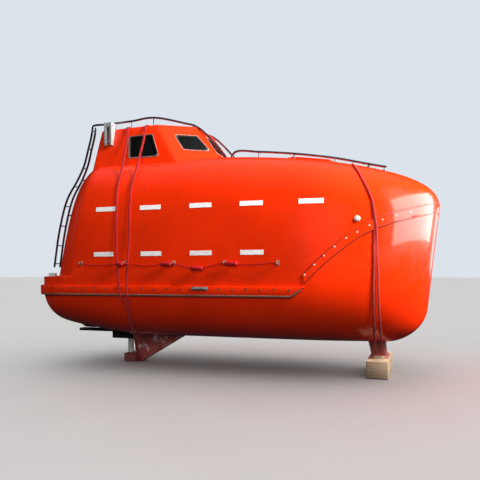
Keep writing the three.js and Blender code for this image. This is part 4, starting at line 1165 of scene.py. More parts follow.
class LIFEBOAT_OT_rails(bpy.types.Operator):
    """Climbing rails at the stern, rails on the wheelhouse roof and on the foredeck"""
    bl_idname = "lifeboat.rails"
    bl_label = "Rails"

    def execute(self, context):
        for name, sign in SIDES:
            stern = flipped(STERN_RAIL, sign)
            near = [[x + gap, y, z] for (x, y, z), gap in zip(stern, STERN_RAIL_GAP)]
            outer, inner = (evenly(curve_through(points, 160), 81) for points in (stern, near))
            # The inner tube takes the second finish, pale paint that partly stands for sunlight on it; the
            # outer tube of the same rail is dark steel
            form = Form().add(tube(outer, RAIL_RADIUS)).add(tube(inner, RAIL_RADIUS), 1)
            form.add(tube(curve_through(flipped(STERN_RAIL_HEAD, sign), 16), RAIL_RADIUS))
            for t in (0.02, 0.15, 0.29, 0.43, 0.57, 0.71, 0.85, 0.98):
                form.add(bar(outer[round(t * 80)], inner[round(t * 80)], RUNG_RADIUS))
            for t in (0.06, 0.36, 0.62):
                p = inner[round(t * 80)]
                wall_x = CANOPY_AFT + slide(CANOPY_AFT, p[2]) + 0.080
                way = np.array([0.360, -sign * 0.040, 0.0])
                form.add(bar(p, p + way * (wall_x - p[0]) / way[0], POST_RADIUS))
            settle(form.piece(f"stern_rail_tubes_{name}"), ["steel", "pale_tube"],
                   replaces=[f"stern_rail_{name}"])

            form = Form().add(tube(curve_through(flipped(ROOF_RAIL, sign), 40), RAIL_RADIUS))
            form.add(tube(curve_through(flipped(ROOF_RAIL_FOOT, sign), 30), RAIL_RADIUS))
            for x, y, z in flipped(ROOF_RAIL, sign):
                roof = float(np.interp(x, HOUSE_TOP[:, 0], HOUSE_TOP[:, 2]))
                form.add(bar([x, y, z], [x, y, roof - 0.015], POST_RADIUS))
                form.add(foot_plate([x, y, roof - 0.004], (0, 0, 1), 0.026))
            settle(form.piece(f"roof_rail_tubes_{name}"), "steel",
                   replaces=[f"roof_rail_{name}"])

            form = Form().add(tube(curve_through(flipped(DECK_RAIL, sign), 70), RAIL_RADIUS))
            half = DECK_RAIL[0][1]
            for x, z in DECK_RAIL_POSTS:
                level = deck_level(x, half)
                form.add(bar([x, sign * half, z], [x, sign * half, level - 0.02], POST_RADIUS))
                form.add(foot_plate([x, sign * half, level], deck_normal(x, half, sign)))
            settle(form.piece(f"deck_rail_tubes_{name}"), "steel",
                   replaces=[f"deck_rail_{name}"])
        return {"FINISHED"}


# Fittings, their profiles as [radius, height]
BOSS_PROFILE = [[0.0, -0.03], [0.036, -0.03], [0.036, 0.020], [0.033, 0.026], [0.028, 0.028], [0.024, 0.024],
                [0.016, 0.024], [0.013, 0.030], [0.008, 0.033], [0.0, 0.034]]
CLEAT_FOOT = [[0.020, 0.008], [0.013, 0.016], [0.012, 0.038], [0.0, 0.038]]
CLEAT_LEVEL = 0.760
BRACKET_X, BRACKET_LEVELS, BRACKET_LEG = (-1.885, -1.755), (2.915, 3.263), 0.036
BOSS_X, BOSS_STATION, BOSS_LEVEL = 1.948, 1.890, 1.654
# A thin pale sheet on the platform's top: partly pale pads, partly a painted highlight of the light on the
# platform's top
PAD_HIGHLIGHT_X, PAD_HIGHLIGHT_INNER = (-2.860, -2.640), 0.35


class LIFEBOAT_OT_fittings(bpy.types.Operator):
    """Lifting brackets, round bow bosses and cleats"""
    bl_idname = "lifeboat.fittings"
    bl_label = "Brackets, bosses and cleats"

    def execute(self, context):
        for name, sign in SIDES:
            form, (x0, x1), levels = Form(), BRACKET_X, BRACKET_LEVELS
            form.add(box(x0, x1, *across(sign, 0.640, 0.668), *levels, 0.004))
            for ends in ((x0, x0 + BRACKET_LEG), (x1 - BRACKET_LEG, x1)):
                form.add(box(*ends, *across(sign, 0.645, 0.775), *levels, 0.003))
            tie = box(x0 + 0.001, x1 - 0.001, *across(sign, 0.650, 0.774), 3.190, levels[1] - 0.001, 0.004)
            form.add(tie, 1)
            for z, radius in ((3.215, 0.016), (2.985, 0.012)):
                for out, r, sides in ((0.008, radius, 18), (-0.019, radius + 0.012, 24)):
                    form.add(bar(*[[x, sign * 0.735, z] for x in (x0 - out, x1 + out)], r, sides))
            settle(form.piece(f"lift_bracket_channel_{name}"), ["anode", "galvanised"],
                   replaces=[f"lift_bracket_{name}"])

            # Pale sheet on the platform: partly pads, partly a painted highlight of the lit top
            x0, x1 = PAD_HIGHLIGHT_X
            pad_highlight = [[x0, PAD_HIGHLIGHT_INNER], [x1, PAD_HIGHLIGHT_INNER], [x1, side_at(x1, 0.90) - 0.06],
                   [x0, side_at(x0, 0.90) - 0.08]]
            pad_highlight = [[[x, sign * y, PLATFORM_LEVEL + h] for x, y in pad_highlight] for h in (-0.004, 0.010)]
            form = Form().add(loft(pad_highlight))
            lug_y = float(side_at(-2.63, 0.90)) - 0.15
            form.add(box(-2.690, -2.580, *across(sign, lug_y, lug_y + 0.07), 0.915, 0.975, 0.012))
            settle(form.piece(f"platform_pad_{name}"), "pale")

            boss_y = float(half_breadth(BOSS_STATION, BOSS_LEVEL)) - 0.002
            boss = lathe(BOSS_PROFILE, [BOSS_X, sign * boss_y, BOSS_LEVEL], (0, sign, 0), 36)
            settle(solid(boss, f"bow_boss_plate_{name}"), "pale", replaces=[f"bow_boss_{name}"])

            face = HALF_BEAM + FENDER_DEPTH + 0.001
            form = Form().add(box(-0.235, 0.0, *across(sign, face, face + 0.010), 0.738, 0.782, 0.004))
            for x in (-0.175, -0.060):
                form.add(lathe(CLEAT_FOOT, [x, sign * face, CLEAT_LEVEL], (0, sign, 0), 20))
            horn = [[x, sign * (face + out), CLEAT_LEVEL]
                    for x, out in ((-0.225, 0.045), (-0.175, 0.040), (-0.060, 0.040), (-0.010, 0.045))]
            girth = 0.0098 * np.sin(np.linspace(0.30, np.pi - 0.30, 24)) ** 0.4
            form.add(tube(curve_through(horn, 24), girth, 14))
            settle(form.piece(f"cleat_horn_{name}"), "galvanised", replaces=[f"cleat_{name}"])
        return {"FINISHED"}


# Grab lines
LINE_EYES = [[-1.997, 1.132], [-1.262, 1.135], [-0.515, 1.128], [0.226, 1.126], [0.950, 1.120]]
LINE_ROUTE = [[-1.997, 1.106], [-1.650, 1.082], [-1.262, 1.100], [-0.900, 1.070], [-0.515, 1.098],
              [-0.152, 1.028], [0.226, 1.098], [0.590, 1.078], [0.950, 1.100]]
FLOATS = [(-1.316, 1.097, 0.046), (-0.608, 1.090, 0.080), (-0.152, 1.028, 0.090), (0.337, 1.090, 0.085)]
LINE_OUT = 0.056
STRAND_SIDES = 12


def rope_tree():
    """A laid rope along a curve: strands in its section turn with its length."""
    tree, given = new_group("laid_rope", (("Rope Radius", "Float", 0.009), ("Lay Length", "Float", 0.055),
                                          ("Strands", "Float", 3.0), ("Step", "Float", 0.008)))
    line = add(tree, "GeometryNodeResampleCurve", {"Curve": given["Geometry"], "Length": given["Step"]},
               mode="LENGTH")
    along = add(tree, "GeometryNodeSplineParameter").outputs["Length"]
    turn = scaled(tree, math_node(tree, "DIVIDE", along, given["Lay Length"]), 2 * math.pi)
    laid = add(tree, "GeometryNodeSetCurveTilt", {"Curve": line.outputs["Curve"], "Tilt": turn})
    ring = add(tree, "GeometryNodeCurvePrimitiveCircle", {"Resolution": STRAND_SIDES,
                                                          "Radius": given["Rope Radius"]})
    index = add(tree, "GeometryNodeInputIndex").outputs["Index"]
    angle = scaled(tree, scaled(tree, index, 2 * math.pi / STRAND_SIDES), given["Strands"])
    swell = math_node(tree, "ADD", scaled(tree, math_node(tree, "COSINE", angle), 0.16), 0.86)
    spot = add(tree, "GeometryNodeInputPosition").outputs["Position"]
    moved = add(tree, "ShaderNodeVectorMath", {0: spot, "Scale": swell}, operation="SCALE").outputs["Vector"]
    section = add(tree, "GeometryNodeSetPosition", {"Geometry": ring.outputs["Curve"], "Position": moved})
    body = add(tree, "GeometryNodeCurveToMesh", {
        "Curve": laid.outputs["Curve"], "Profile Curve": section.outputs["Geometry"], "Fill Caps": True})
    return end_group(tree, body.outputs["Mesh"], given["Finish"])


def laid_rope(name, route, radius, lay):
    """A rope along a route in the hull's frame, as a plain mesh."""
    curve = bpy.data.curves.new(name, "CURVE")
    curve.dimensions = "3D"
    spline = curve.splines.new("POLY")
    spline.points.add(len(route) - 1)
    for point, place in zip(spline.points, route):
        point.co = (*(np.array(place) + SHIFT), 1)
    line = new_piece(name + "_line", curve)
    set_group(line, "laid_rope", rope_tree, rope_radius=radius, lay_length=lay, finish=finish_of("rope"))
    bpy.context.view_layer.update()
    mesh = bpy.data.meshes.new_from_object(line.evaluated_get(bpy.context.evaluated_depsgraph_get()))
    bpy.data.objects.remove(line)
    return new_piece(name, mesh)


# Half a float's profile as shares of [its radius, its half length]
FLOAT_PROFILE = [[0.55, 1], [0.86, 0.86], [1, 0.62]]
EYE_RADIUS, EYE_PLATE = 0.0045, 0.022


class LIFEBOAT_OT_grab_lines(bpy.types.Operator):
    """Laid grab line with its floats and eyes along each side"""
    bl_idname = "lifeboat.grab_lines"
    bl_label = "Grab lines"

    def execute(self, context):
        lines = context.scene.lifeboat_lines
        for name, sign in SIDES:
            run = [[x, sign * (side_at(x, z) + LINE_OUT), z] for x, z in LINE_ROUTE]
            rope = laid_rope(f"grab_rope_{name}", curve_through(run, 160), lines.rope_radius, lines.rope_lay)
            settle(rope, "rope", replaces=[f"grab_line_{name}"], angle=70)
            form = Form()
            r = lines.float_radius
            for x, z, half in FLOATS:
                skin = [[r * u, half * v] for u, v in FLOAT_PROFILE]
                profile = [[0.010, -half], *([u, -v] for u, v in skin), *skin[::-1], [0.010, half],
                           [0.006, half], [0.006, -half]]
                form.add(ring_lathe(profile, [x, sign * (side_at(x, z) + LINE_OUT), z], (1, 0, 0), 28))
            settle(form.piece(f"grab_line_floats_{name}"), "float", angle=50)
            form, places = Form(), []
            for x, z in LINE_EYES:
                face = float(side_at(x, z))
                hoop = [[x, sign * (face + out), z - down] for out, down in (
                    (-0.01, 0.006), (0.03, 0.006), (LINE_OUT, 0.004), (LINE_OUT + 0.014, 0.020),
                    (LINE_OUT, 0.036), (0.03, 0.034), (-0.01, 0.034))]
                form.add(tube(curve_through(hoop, 30), EYE_RADIUS, 10))
                form.add(box(x - EYE_PLATE, x + EYE_PLATE, *across(sign, face - 0.006, face + 0.006),
                             z - 0.052, z + 0.012, 0.002))
                places += [([x + dx, sign * (face + 0.006), z + dz], (0, sign, 0))
                           for dx in (-0.013, 0.013) for dz in (-0.045, 0.005)]
            settle(form.piece(f"grab_line_eyes_{name}"), "frame_grey")
            heads(f"grab_line_eye_screws_{name}", places, "steel", 0.004, 0.002, sides=8)
        return {"FINISHED"}


# Lashings, drawn tight round the boat. Tables give [level, x], highest first
STRAP_CENTRE = 1.300
AFT_STRAPS = [
    [[3.190, -1.541], [3.060, -1.500], [2.900, -1.483], [2.700, -1.472], [2.500, -1.452], [2.180, -1.448],
     [1.900, -1.424], [1.390, -1.408], [1.100, -1.390], [0.865, -1.352], [0.640, -1.326], [0.470, -1.262],
     [0.220, -1.300], [0.060, -1.385], [-0.395, -1.632]],
    [[3.190, -1.225], [3.050, -1.216], [2.950, -1.204], [2.750, -1.206], [2.500, -1.206], [2.170, -1.222],
     [1.900, -1.210], [1.390, -1.200], [1.100, -1.216], [0.655, -1.223], [0.470, -1.224], [0.220, -1.286],
     [0.060, -1.381], [-0.395, -1.632]],
]
FORE_STRAPS = [
    [[2.520, 1.782], [2.393, 1.872], [2.233, 1.972], [2.060, 2.056], [1.889, 2.124], [1.586, 2.158],
     [1.100, 2.150], [0.050, 2.116]],
    [[2.520, 1.784], [2.393, 1.874], [2.233, 1.974], [2.060, 2.060], [1.889, 2.130], [1.586, 2.176],
     [1.100, 2.194], [0.050, 2.198]],
]
STRAP_THICK = 0.005
SKEG_FOOT = [(0.068, -0.450), (0.002, -0.450)]
BOW_LUG = [(0.272, -0.165)]
ROOF_EDGES = [(0.0, 3.190), (0.636, 3.190), (0.664, 3.176)]
RAIL_EDGES = [(HALF_BEAM + FENDER_DEPTH, RAIL_TOP), (HALF_BEAM + FENDER_DEPTH, RAIL_FOOT)]
AFT_WAY = {"edges": [*ROOF_EDGES, *RAIL_EDGES], "under": SKEG_FOOT, "lift": 0.012, "width": 0.038,
           "finish": "webbing"}
FORE_WAY = {"edges": [], "under": BOW_LUG, "lift": 0.016, "width": 0.026, "finish": "dark_webbing"}


def table_at(table, z):
    levels, values = zip(*table[::-1])
    return float(np.interp(z, levels, values))


def skin_point(turn, x_at):
    """(y, z) of the skin, 0 on the crown, 1 at the widest level and 2 at the keel, x following x_at."""
    s, y, z = x_at(RAIL_LEVEL), 0.0, RAIL_LEVEL
    quarter = (turn % 1) * math.pi / 2
    out, along = math.sin(quarter), math.cos(quarter)
    if turn >= 1:
        out, along = along, out
    for _ in range(12):
        mid, upper = widest(s), turn < 1
        full, deep = upper_shape(s) if upper else lower_shape(s)
        reach = (crown(s) if upper else bottom(s)) - mid
        y, z = plan_half(s) * power(out, 2 / full), mid + reach * power(along, 2 / deep)
        s = x_at(z) - slide(s, z)
    return float(y), float(z)


def strap_angle(p):
    return math.atan2(p[0], p[1] - STRAP_CENTRE)


def lifted(p, lift):
    scale = 1 + lift / math.hypot(p[0], p[1] - STRAP_CENTRE)
    return p[0] * scale, STRAP_CENTRE + (p[1] - STRAP_CENTRE) * scale


def strap_edge(x_at, way):
    """The tight line of a strap's edge, seen along the boat, from the crown down."""
    skin = [skin_point(turn, x_at) for turn in [*np.linspace(0, 1.9, 77), 1.95]]
    points = [lifted(p, way["lift"]) for p in [*skin, *way["edges"]]]
    points = sorted((p for p in points if strap_angle(p) < strap_angle(way["under"][0])),
                    key=lambda p: (strap_angle(p), -p[1]))
    chain = []
    for p in [*points, *way["under"]]:
        while len(chain) > 1:
            a, b = chain[-2:]
            if (b[0] - a[0]) * (p[1] - a[1]) - (b[1] - a[1]) * (p[0] - a[0]) < 0:
                break
            chain.pop()
        chain.append(p)
    return chain


def reach_of(chain, angle):
    """How far from the centre line the edge lies in a direction."""
    def passed(i):
        return i and (strap_angle(chain[i]) >= angle - 1e-9 or i == len(chain) - 1)

    after = next(i for i in range(len(chain)) if passed(i))
    (ay, az), (by, bz) = chain[after - 1], chain[after]
    dy, dz = by - ay, bz - az
    return (ay * dz - (az - STRAP_CENTRE) * dy) / (math.sin(angle) * dz - math.cos(angle) * dy)


def strap_rings(levels, way):
    """Rings of a strap's section from the starboard end over the top to the port end."""
    width = way["width"]
    chains = [strap_edge(lambda z, dx=dx: table_at(levels, z) + dx, way) for dx in (-width / 2, width / 2)]
    last = strap_angle(way["under"][-1])
    corners = [strap_angle(p) for p in [*[lifted(p, way["lift"]) for p in way["edges"]], *way["under"]]]
    angles = sorted([*np.linspace(0, last, 110, endpoint=False), *corners])
    angles = [a for i, a in enumerate(angles) if i == 0 or a - angles[i - 1] > 1e-6]
    half = STRAP_THICK / 2
    outline = [(0.0, -0.4 * half), (0.06, -half), (0.94, -half), (1.0, -0.4 * half),
               (1.0, 0.4 * half), (0.94, half), (0.5, half * 1.12), (0.06, half), (0.0, 0.4 * half)]

    def ring(angle, sign):
        out = []
        radii = [reach_of(chain, angle) for chain in chains]
        for u, height in outline:
            r = mix(*radii, u) + height
            y, z = r * math.sin(angle), STRAP_CENTRE + r * math.cos(angle)
            out.append([table_at(levels, z) + (u - 0.5) * width, sign * y, z])
        return out

    return [ring(a, -1) for a in angles[:0:-1]] + [ring(a, 1) for a in angles], [u for u, _ in outline]


def strap_piece(name, tables, way, node):
    """One lashing of several straps, with a UV map in metres along and across each strap."""
    form, marks = Form(), []
    for turn, levels in enumerate(tables):
        out = turn * (STRAP_THICK + 0.0005)
        over = {**way, "lift": way["lift"] + out, "under": [(y + out, z - out) for y, z in way["under"]]}
        rings, across_strap = strap_rings(levels, over)
        form.add(loft(rings))
        middles = np.array(rings).mean(1)
        marks += [(length, u * way["width"]) for length in lengths_along(middles) for u in across_strap]
    mesh = bpy.data.meshes.new(name)
    mesh.from_pydata((np.array(form.points) + SHIFT).tolist(), [], form.faces)
    layer = mesh.uv_layers.new(name="weave")
    for loop in mesh.loops:
        layer.data[loop.index].uv = marks[loop.vertex_index]
    with editing(mesh) as made:
        bmesh.ops.recalc_face_normals(made, faces=made.faces)
    settle(new_piece(name, mesh), way["finish"], replaces=[node], angle=50)


class LIFEBOAT_OT_lashings(bpy.types.Operator):
    """Red webbing lashings round the stern and the bow"""
    bl_idname = "lifeboat.lashings"
    bl_label = "Lashings"

    def execute(self, context):
        strap_piece("aft_webbing", AFT_STRAPS, AFT_WAY, "aft_lashing")
        strap_piece("fore_webbing", FORE_STRAPS, FORE_WAY, "fore_lashing")
        return {"FINISHED"}


# Door and hatch, drawn on their own planes
def on_wall(x, y, z):
    return ON_WALL @ Vector((x, y, z))


def door_rings(steps):
    """Rings round the door's opening for [growth, corner radius, depth]."""
    half, rise = DOOR["half"], (DOOR["high"] - DOOR["low"]) / 2
    middle = (DOOR["low"] + DOOR["high"]) / 2
    return [[[depth, y, middle + z] for y, z in rounded_rectangle(half + grow, rise + grow, radius)]
            for grow, radius, depth in steps]


FRAME_STEPS = [(0.045, 0.004), (0.045, -0.012), (0.041, -0.016), (0.004, -0.016), (0.0, -0.012), (0.0, 0.048),
               (0.020, 0.048), (0.045, 0.004)]
LEAF_STEPS = [(0.0, 0.032), (0.0, -0.018), (0.004, -0.022), (0.050, -0.022), (0.060, -0.016), (0.2, -0.016)]
HINGE_OUT, HINGE_Y, KNUCKLE, KNUCKLE_RADIUS = 0.034, 0.331, 0.060, 0.012
LEVER_Y, LEVER_Z = -0.236, 0.70
MOULDING_AND_STEEL = ["orange", "galvanised"]


def knuckle(low):
    """One knuckle of a door hinge, from its lower end."""
    ends = [on_wall(-HINGE_OUT, HINGE_Y, z) for z in (low, low + KNUCKLE)]
    return bar(*ends, KNUCKLE_RADIUS, 20)


class LIFEBOAT_OT_door(bpy.types.Operator):
    """Aft door with its frame, hinges and lever"""
    bl_idname = "lifeboat.door"
    bl_label = "Aft door"

    def execute(self, context):
        frame_rings = door_rings([(grow, 0.05 + grow, depth) for grow, depth in FRAME_STEPS])
        leaf_rings = door_rings([(-0.008 - inset, max(0.004, 0.045 - inset), depth)
                                 for inset, depth in LEAF_STEPS])
        ring = Form().add(turned(loft(frame_rings, ends=False), ON_WALL))
        leaf = Form().add(turned(loft(leaf_rings), ON_WALL))
        places = []
        for low in (0.330, 0.900):
            strap = box(-HINGE_OUT - 0.004, -0.021, 0.150, HINGE_Y, low + 0.010, low + 0.050, 0.003)
            leaf.add(knuckle(low), 1).add(turned(strap, ON_WALL), 1)
            places += [(on_wall(-HINGE_OUT - 0.004, y, low + 0.030), ON_WALL.to_3x3() @ Vector((-1, 0, 0)))
                       for y in (0.175, 0.225, 0.275)]
        for low in (0.395, 0.965):
            foot = box(-HINGE_OUT, -0.015, HINGE_Y - 0.009, HINGE_Y + 0.009, low, low + KNUCKLE, 0.002)
            ring.add(knuckle(low), 1).add(turned(foot, ON_WALL), 1)
        lever = [(-0.024, LEVER_Y, LEVER_Z), (-0.050, LEVER_Y, LEVER_Z), (-0.054, LEVER_Y, 0.66),
                 (-0.054, LEVER_Y, 0.575)]
        leaf.add(tube([on_wall(*p) for p in curve_through(lever, 20)], 0.011, 16), 1)
        boss = [[0.034, -0.021], [0.034, -0.027], [0.028, -0.031], [0.0, -0.031]]
        leaf.add(turned(lathe(boss, (0, LEVER_Y, LEVER_Z), (1, 0, 0), 28), ON_WALL), 1)
        settle(ring.piece("door_frame_ring"), MOULDING_AND_STEEL, replaces=["door_frame"])
        settle(leaf.piece("aft_door_leaf"), MOULDING_AND_STEEL, body="door",
               replaces=["aft_door"])
        heads("door_hinge_screws", places, "steel", 0.007, 0.003, body="door")
        return {"FINISHED"}


def square_rings(steps):
    """Rings round the hatch for [half its width, corner radius, level]."""
    return [[[x, y, z] for x, y in rounded_rectangle(size, size, radius)] for size, radius, z in steps]


class LIFEBOAT_OT_hatch(bpy.types.Operator):
    """Fore hatch: coaming, domed lid and hinges"""
    bl_idname = "lifeboat.hatch"
    bl_label = "Fore hatch"

    def execute(self, context):
        half, rim, rise = HATCH["half"], HATCH_RIM, HATCH["rise"]
        pin_x, pin_z = HATCH["pin"]
        low = rise + 0.005
        profile = [(rim, -0.070), (rim, rise - 0.004), (rim - 0.004, rise), (half + 0.004, rise),
                   (half, rise - 0.004), (half, -0.070), (rim, -0.070)]
        rings = square_rings([(size, 0.045, z) for size, z in profile])
        coaming = Form().add(turned(loft(rings, ends=False), ON_HATCH))
        dome = [(0.008, 0.0), (0.008, 0.014), (0.012, 0.020), (0.050, 0.022), (0.064, 0.029), (0.100, 0.0315),
                (0.180, 0.032)]
        rings = square_rings([(rim - inset, min(0.06, (rim - inset) * 0.3), low + z) for inset, z in dome])
        lid = Form().add(turned(loft(rings), ON_HATCH))
        strap = (pin_x - 0.008, -rim + 0.001), (rise - 0.016, pin_z)
        leaf = (pin_x, -rim + 0.010), (low + 0.002, low + 0.020)
        for form, y, (x, z) in ((coaming, 0.215, strap), (lid, 0.155, leaf)):
            for middle in (-y, y):
                form.add(turned(box(*x, middle - 0.025, middle + 0.025, *z, 0.003), ON_HATCH), 1)
                pin = [ON_HATCH @ Vector((pin_x, middle + end, pin_z)) for end in (-0.025, 0.025)]
                form.add(bar(*pin, 0.010, 18), 1)
        settle(coaming.piece("hatch_coaming_ring"), MOULDING_AND_STEEL,
               replaces=["hatch_coaming"])
        settle(lid.piece("hatch_lid_dome"), MOULDING_AND_STEEL, body="lid",
               replaces=["hatch_lid"])
        return {"FINISHED"}


# Under water, on the rests and inside
def softened(node, name, finish, edge, segments=2):
    """A copy of a CAD node with its flat faces rejoined and its edges rounded, standing for the node."""
    made = bmesh.new()
    made.from_mesh(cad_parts[node].data)
    bmesh.ops.remove_doubles(made, verts=made.verts, dist=1e-4)
    bmesh.ops.dissolve_limit(made, angle_limit=math.radians(2), verts=made.verts, edges=made.edges)
    mesh = bpy.data.meshes.new(name)
    made.to_mesh(mesh)
    made.free()
    piece = new_piece(name, mesh)
    round_edges = piece.modifiers.new("edges", "BEVEL")
    round_edges.width, round_edges.segments = edge, segments
    round_edges.limit_method, round_edges.angle_limit = "ANGLE", math.radians(25)
    bake(piece)
    settle(piece, finish, replaces=[node])


NOZZLE_FOOT = [[0.060, 0.0], [0.056, 0.014], [0.034, 0.030], [0.024, 0.042]]
HUB = [[0.0, -0.075], [0.018, -0.072], [0.030, -0.055], [0.038, -0.030], [0.038, 0.050], [0.034, 0.062],
       [0.0, 0.062]]
BLADES, BLADE_ROOT, BLADE_TIP = 3, 0.030, 0.201


class LIFEBOAT_OT_stern_gear(bpy.types.Operator):
    """Skeg, shaft fairing, steering nozzle and propeller"""
    bl_idname = "lifeboat.stern_gear"
    bl_label = "Stern gear"

    def execute(self, context):
        softened("skeg", "skeg_plate", "skeg", 0.008)
        softened("shaft_fairing", "shaft_fairing_box", "black", 0.006)
        x, half = NOZZLE["x"], NOZZLE["half"]
        outer, inner = NOZZLE["outer"], NOZZLE["inner"]
        profile = [[inner + 0.003, -half], [inner, 0.05 - half], [inner, half - 0.02],
                   [inner + 0.004, half - 0.004], [inner + 0.010, half], [outer - 0.016, half - 0.006],
                   [outer - 0.004, half - 0.05], [outer, 0.0], [outer - 0.004, 0.03 - half],
                   [outer - 0.012, 0.006 - half], [inner + 0.010, -half]]
        form = Form().add(ring_lathe(profile, (x, 0, SHAFT_LEVEL), (1, 0, 0), 72))
        foot = SHAFT_LEVEL + outer - 0.014
        form.add(bar((x, 0, foot), (x, 0, foot + 0.180), NOZZLE["stock"], 28))
        form.add(lathe(NOZZLE_FOOT, (x, 0, foot), (0, 0, 1), 32))
        settle(form.piece("steering_nozzle_ring"), "black", body="nozzle",
               replaces=["steering_nozzle"])

        form = Form().add(lathe(HUB, (x, 0, SHAFT_LEVEL), (1, 0, 0), 40))
        form.add(bar((x + 0.05, 0, SHAFT_LEVEL), (x + 0.230, 0, SHAFT_LEVEL), 0.020, 24))
        for k in range(BLADES):
            form.add(blade(k * 2 * math.pi / BLADES))
        settle(form.piece("propeller_casting"), "bronze", body="screw",
               replaces=["propeller"], angle=40)
        return {"FINISHED"}


def blade(turn):
    """One propeller blade as a twisted, cambered loft from the hub to the tip."""
    rings = []
    for t in np.linspace(0, 1, 14):
        r = mix(BLADE_ROOT, BLADE_TIP, t)
        chord = 0.050 + 0.085 * math.sin(math.pi * (0.15 + 0.80 * t)) if t < 1 else 0.030
        chord *= 1.0 if t < 0.9 else mix(1.0, 0.45, (t - 0.9) / 0.1)
        thick = mix(0.013, 0.004, t)
        pitch = mix(1.05, 0.50, t)
        ring = []
        for a in np.linspace(0, 2 * math.pi, 18, endpoint=False):
            u, v = 0.5 * chord * math.cos(a), 0.5 * thick * math.sin(a) + 0.006 * (1 - math.cos(a) ** 2)
            along = u * math.sin(pitch) + v * math.cos(pitch)
            round_hub = u * math.cos(pitch) - v * math.sin(pitch)
            angle = turn + round_hub / r
            ring.append([NOZZLE["x"] + along, r * math.sin(angle), SHAFT_LEVEL + r * math.cos(angle)])
        rings.append(ring)
    return loft(rings)


class LIFEBOAT_OT_cradle(bpy.types.Operator):
    """What the boat stands on: stern rest and prop, bow rest and timber sleeper"""
    bl_idname = "lifeboat.cradle"
    bl_label = "Rests"

    def execute(self, context):
        softened("stern_rest", "stern_rest_block", "rest", 0.008)
        softened("stern_prop", "stern_prop_post", "pale", 0.004)
        softened("bow_rest", "bow_rest_leg", "rest", 0.008)
        softened("bow_sleeper", "bow_sleeper_timber", "timber", 0.010)
        return {"FINISHED"}


class LIFEBOAT_OT_interior(bpy.types.Operator):
    """Seats, helm, sole and engine, seen through glass, door and hatch"""
    bl_idname = "lifeboat.interior"
    bl_label = "Inside"

    def execute(self, context):
        for node, finish, slot, edge in (
                ("seat_bank_starboard", "seat", "seat_moulding", 0.018),
                ("seat_bank_port", "seat", "seat_moulding", 0.018),
                ("helm_seat", "seat", "seat_moulding", 0.022),
                ("helm_console", "liner", "inner_moulding", 0.014),
                ("helm_platform", "liner", "inner_moulding", 0.008),
                ("engine", "engine", "engine_paint", 0.030)):
            softened(node, node + "_moulding", finish, edge, segments=3)
        for node, finish in (("sole", "liner"), ("steering_wheel", "rubber")):
            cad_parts[node].data.materials.clear()
            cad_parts[node].data.materials.append(finish_of(finish))
        return {"FINISHED"}


# Lights on the boat: place, target, size, share of the key light's power, colour and which rays meet them
LIGHTS = [
    ("bow_key", (9.5, -2.0, 8.2), (0.5, 0.0, 1.8), (4.0, 4.0), 1.0, (1.0, 0.97, 0.93), "diffuse"),
    ("side_fill", (2.5, -9.5, 4.2), (0.0, 0.0, 1.8), (5.0, 5.0), 0.075, (0.95, 0.97, 1.0), "diffuse"),
    ("port_fill", (1.0, 9.5, 6.0), (0.0, 0.0, 1.8), (5.0, 5.0), 0.16, (1.0, 1.0, 1.0), "diffuse"),
    ("stern_fill", (-10.0, -3.0, 5.0), (-1.0, 0.0, 1.8), (4.0, 4.0), 0.05, (0.95, 0.97, 1.0), "diffuse"),
    ("bow_panel", (9.5, 0.65, 4.5), (0.0, 0.65, 4.5), (10.3, 5.8), 0.40, (1.0, 1.0, 1.0), "glossy"),
    ("stem_panel", (7.0, 7.5, 2.2), (2.9, 0.0, 1.8), (2.0, 2.4), 0.009, (1.0, 1.0, 1.0), "glossy"),
]


def put_light(name, lamp, floor, state):
    """A light out of the camera's sight that takes in the floor alone or leaves it out."""
    lit = bpy.data.collections.new(f"{name}_on")
    lit.objects.link(floor)
    lit.collection_objects[0].light_linking.link_state = state
    light = new_piece(name, lamp)
    light.light_linking.receiver_collection = lit
    light.visible_camera = False
    return light


def soft_surround(strength):
    """A plain pale backdrop that lights the boat softly, more from above than from below."""
    world = bpy.data.worlds.new("soft_surround")
    world.use_nodes = True
    tree = world.node_tree
    tree.nodes.clear()
    place = add(tree, "ShaderNodeTexCoord").outputs["Generated"]
    way = add(tree, "ShaderNodeSeparateXYZ", {"Vector": place}).outputs["Z"]
    height = scaled(tree, math_node(tree, "ADD", way, 1.0), 0.5)
    sky = ramp(tree, height, [(0.35, 0.05), (0.85, 0.15)])
    gleam = ramp(tree, height, [(0.80, (0.014, 0.017, 0.022)), (0.97, (0.40, 0.45, 0.52))])
    diffuse, mirror, backdrop = [
        add(tree, "ShaderNodeBackground", {"Color": colour, "Strength": power}).outputs[0]
        for colour, power in ((sky, strength), (gleam, strength), ((0.80, 0.85, 0.92, 1.0), 0.9))]
    seen = add(tree, "ShaderNodeLightPath").outputs
    lit = add(tree, "ShaderNodeMixShader", {0: seen["Is Glossy Ray"], 1: diffuse, 2: mirror}).outputs[0]
    both = add(tree, "ShaderNodeMixShader", {0: seen["Is Camera Ray"], 1: lit, 2: backdrop}).outputs[0]
    add(tree, "ShaderNodeOutputWorld", {"Surface": both})
    return world


FLOOR_REACH = 400


def facing(way):
    """The turn that points a light or a camera along a direction."""
    return Vector(way).to_track_quat("-Z", "Y").to_euler()


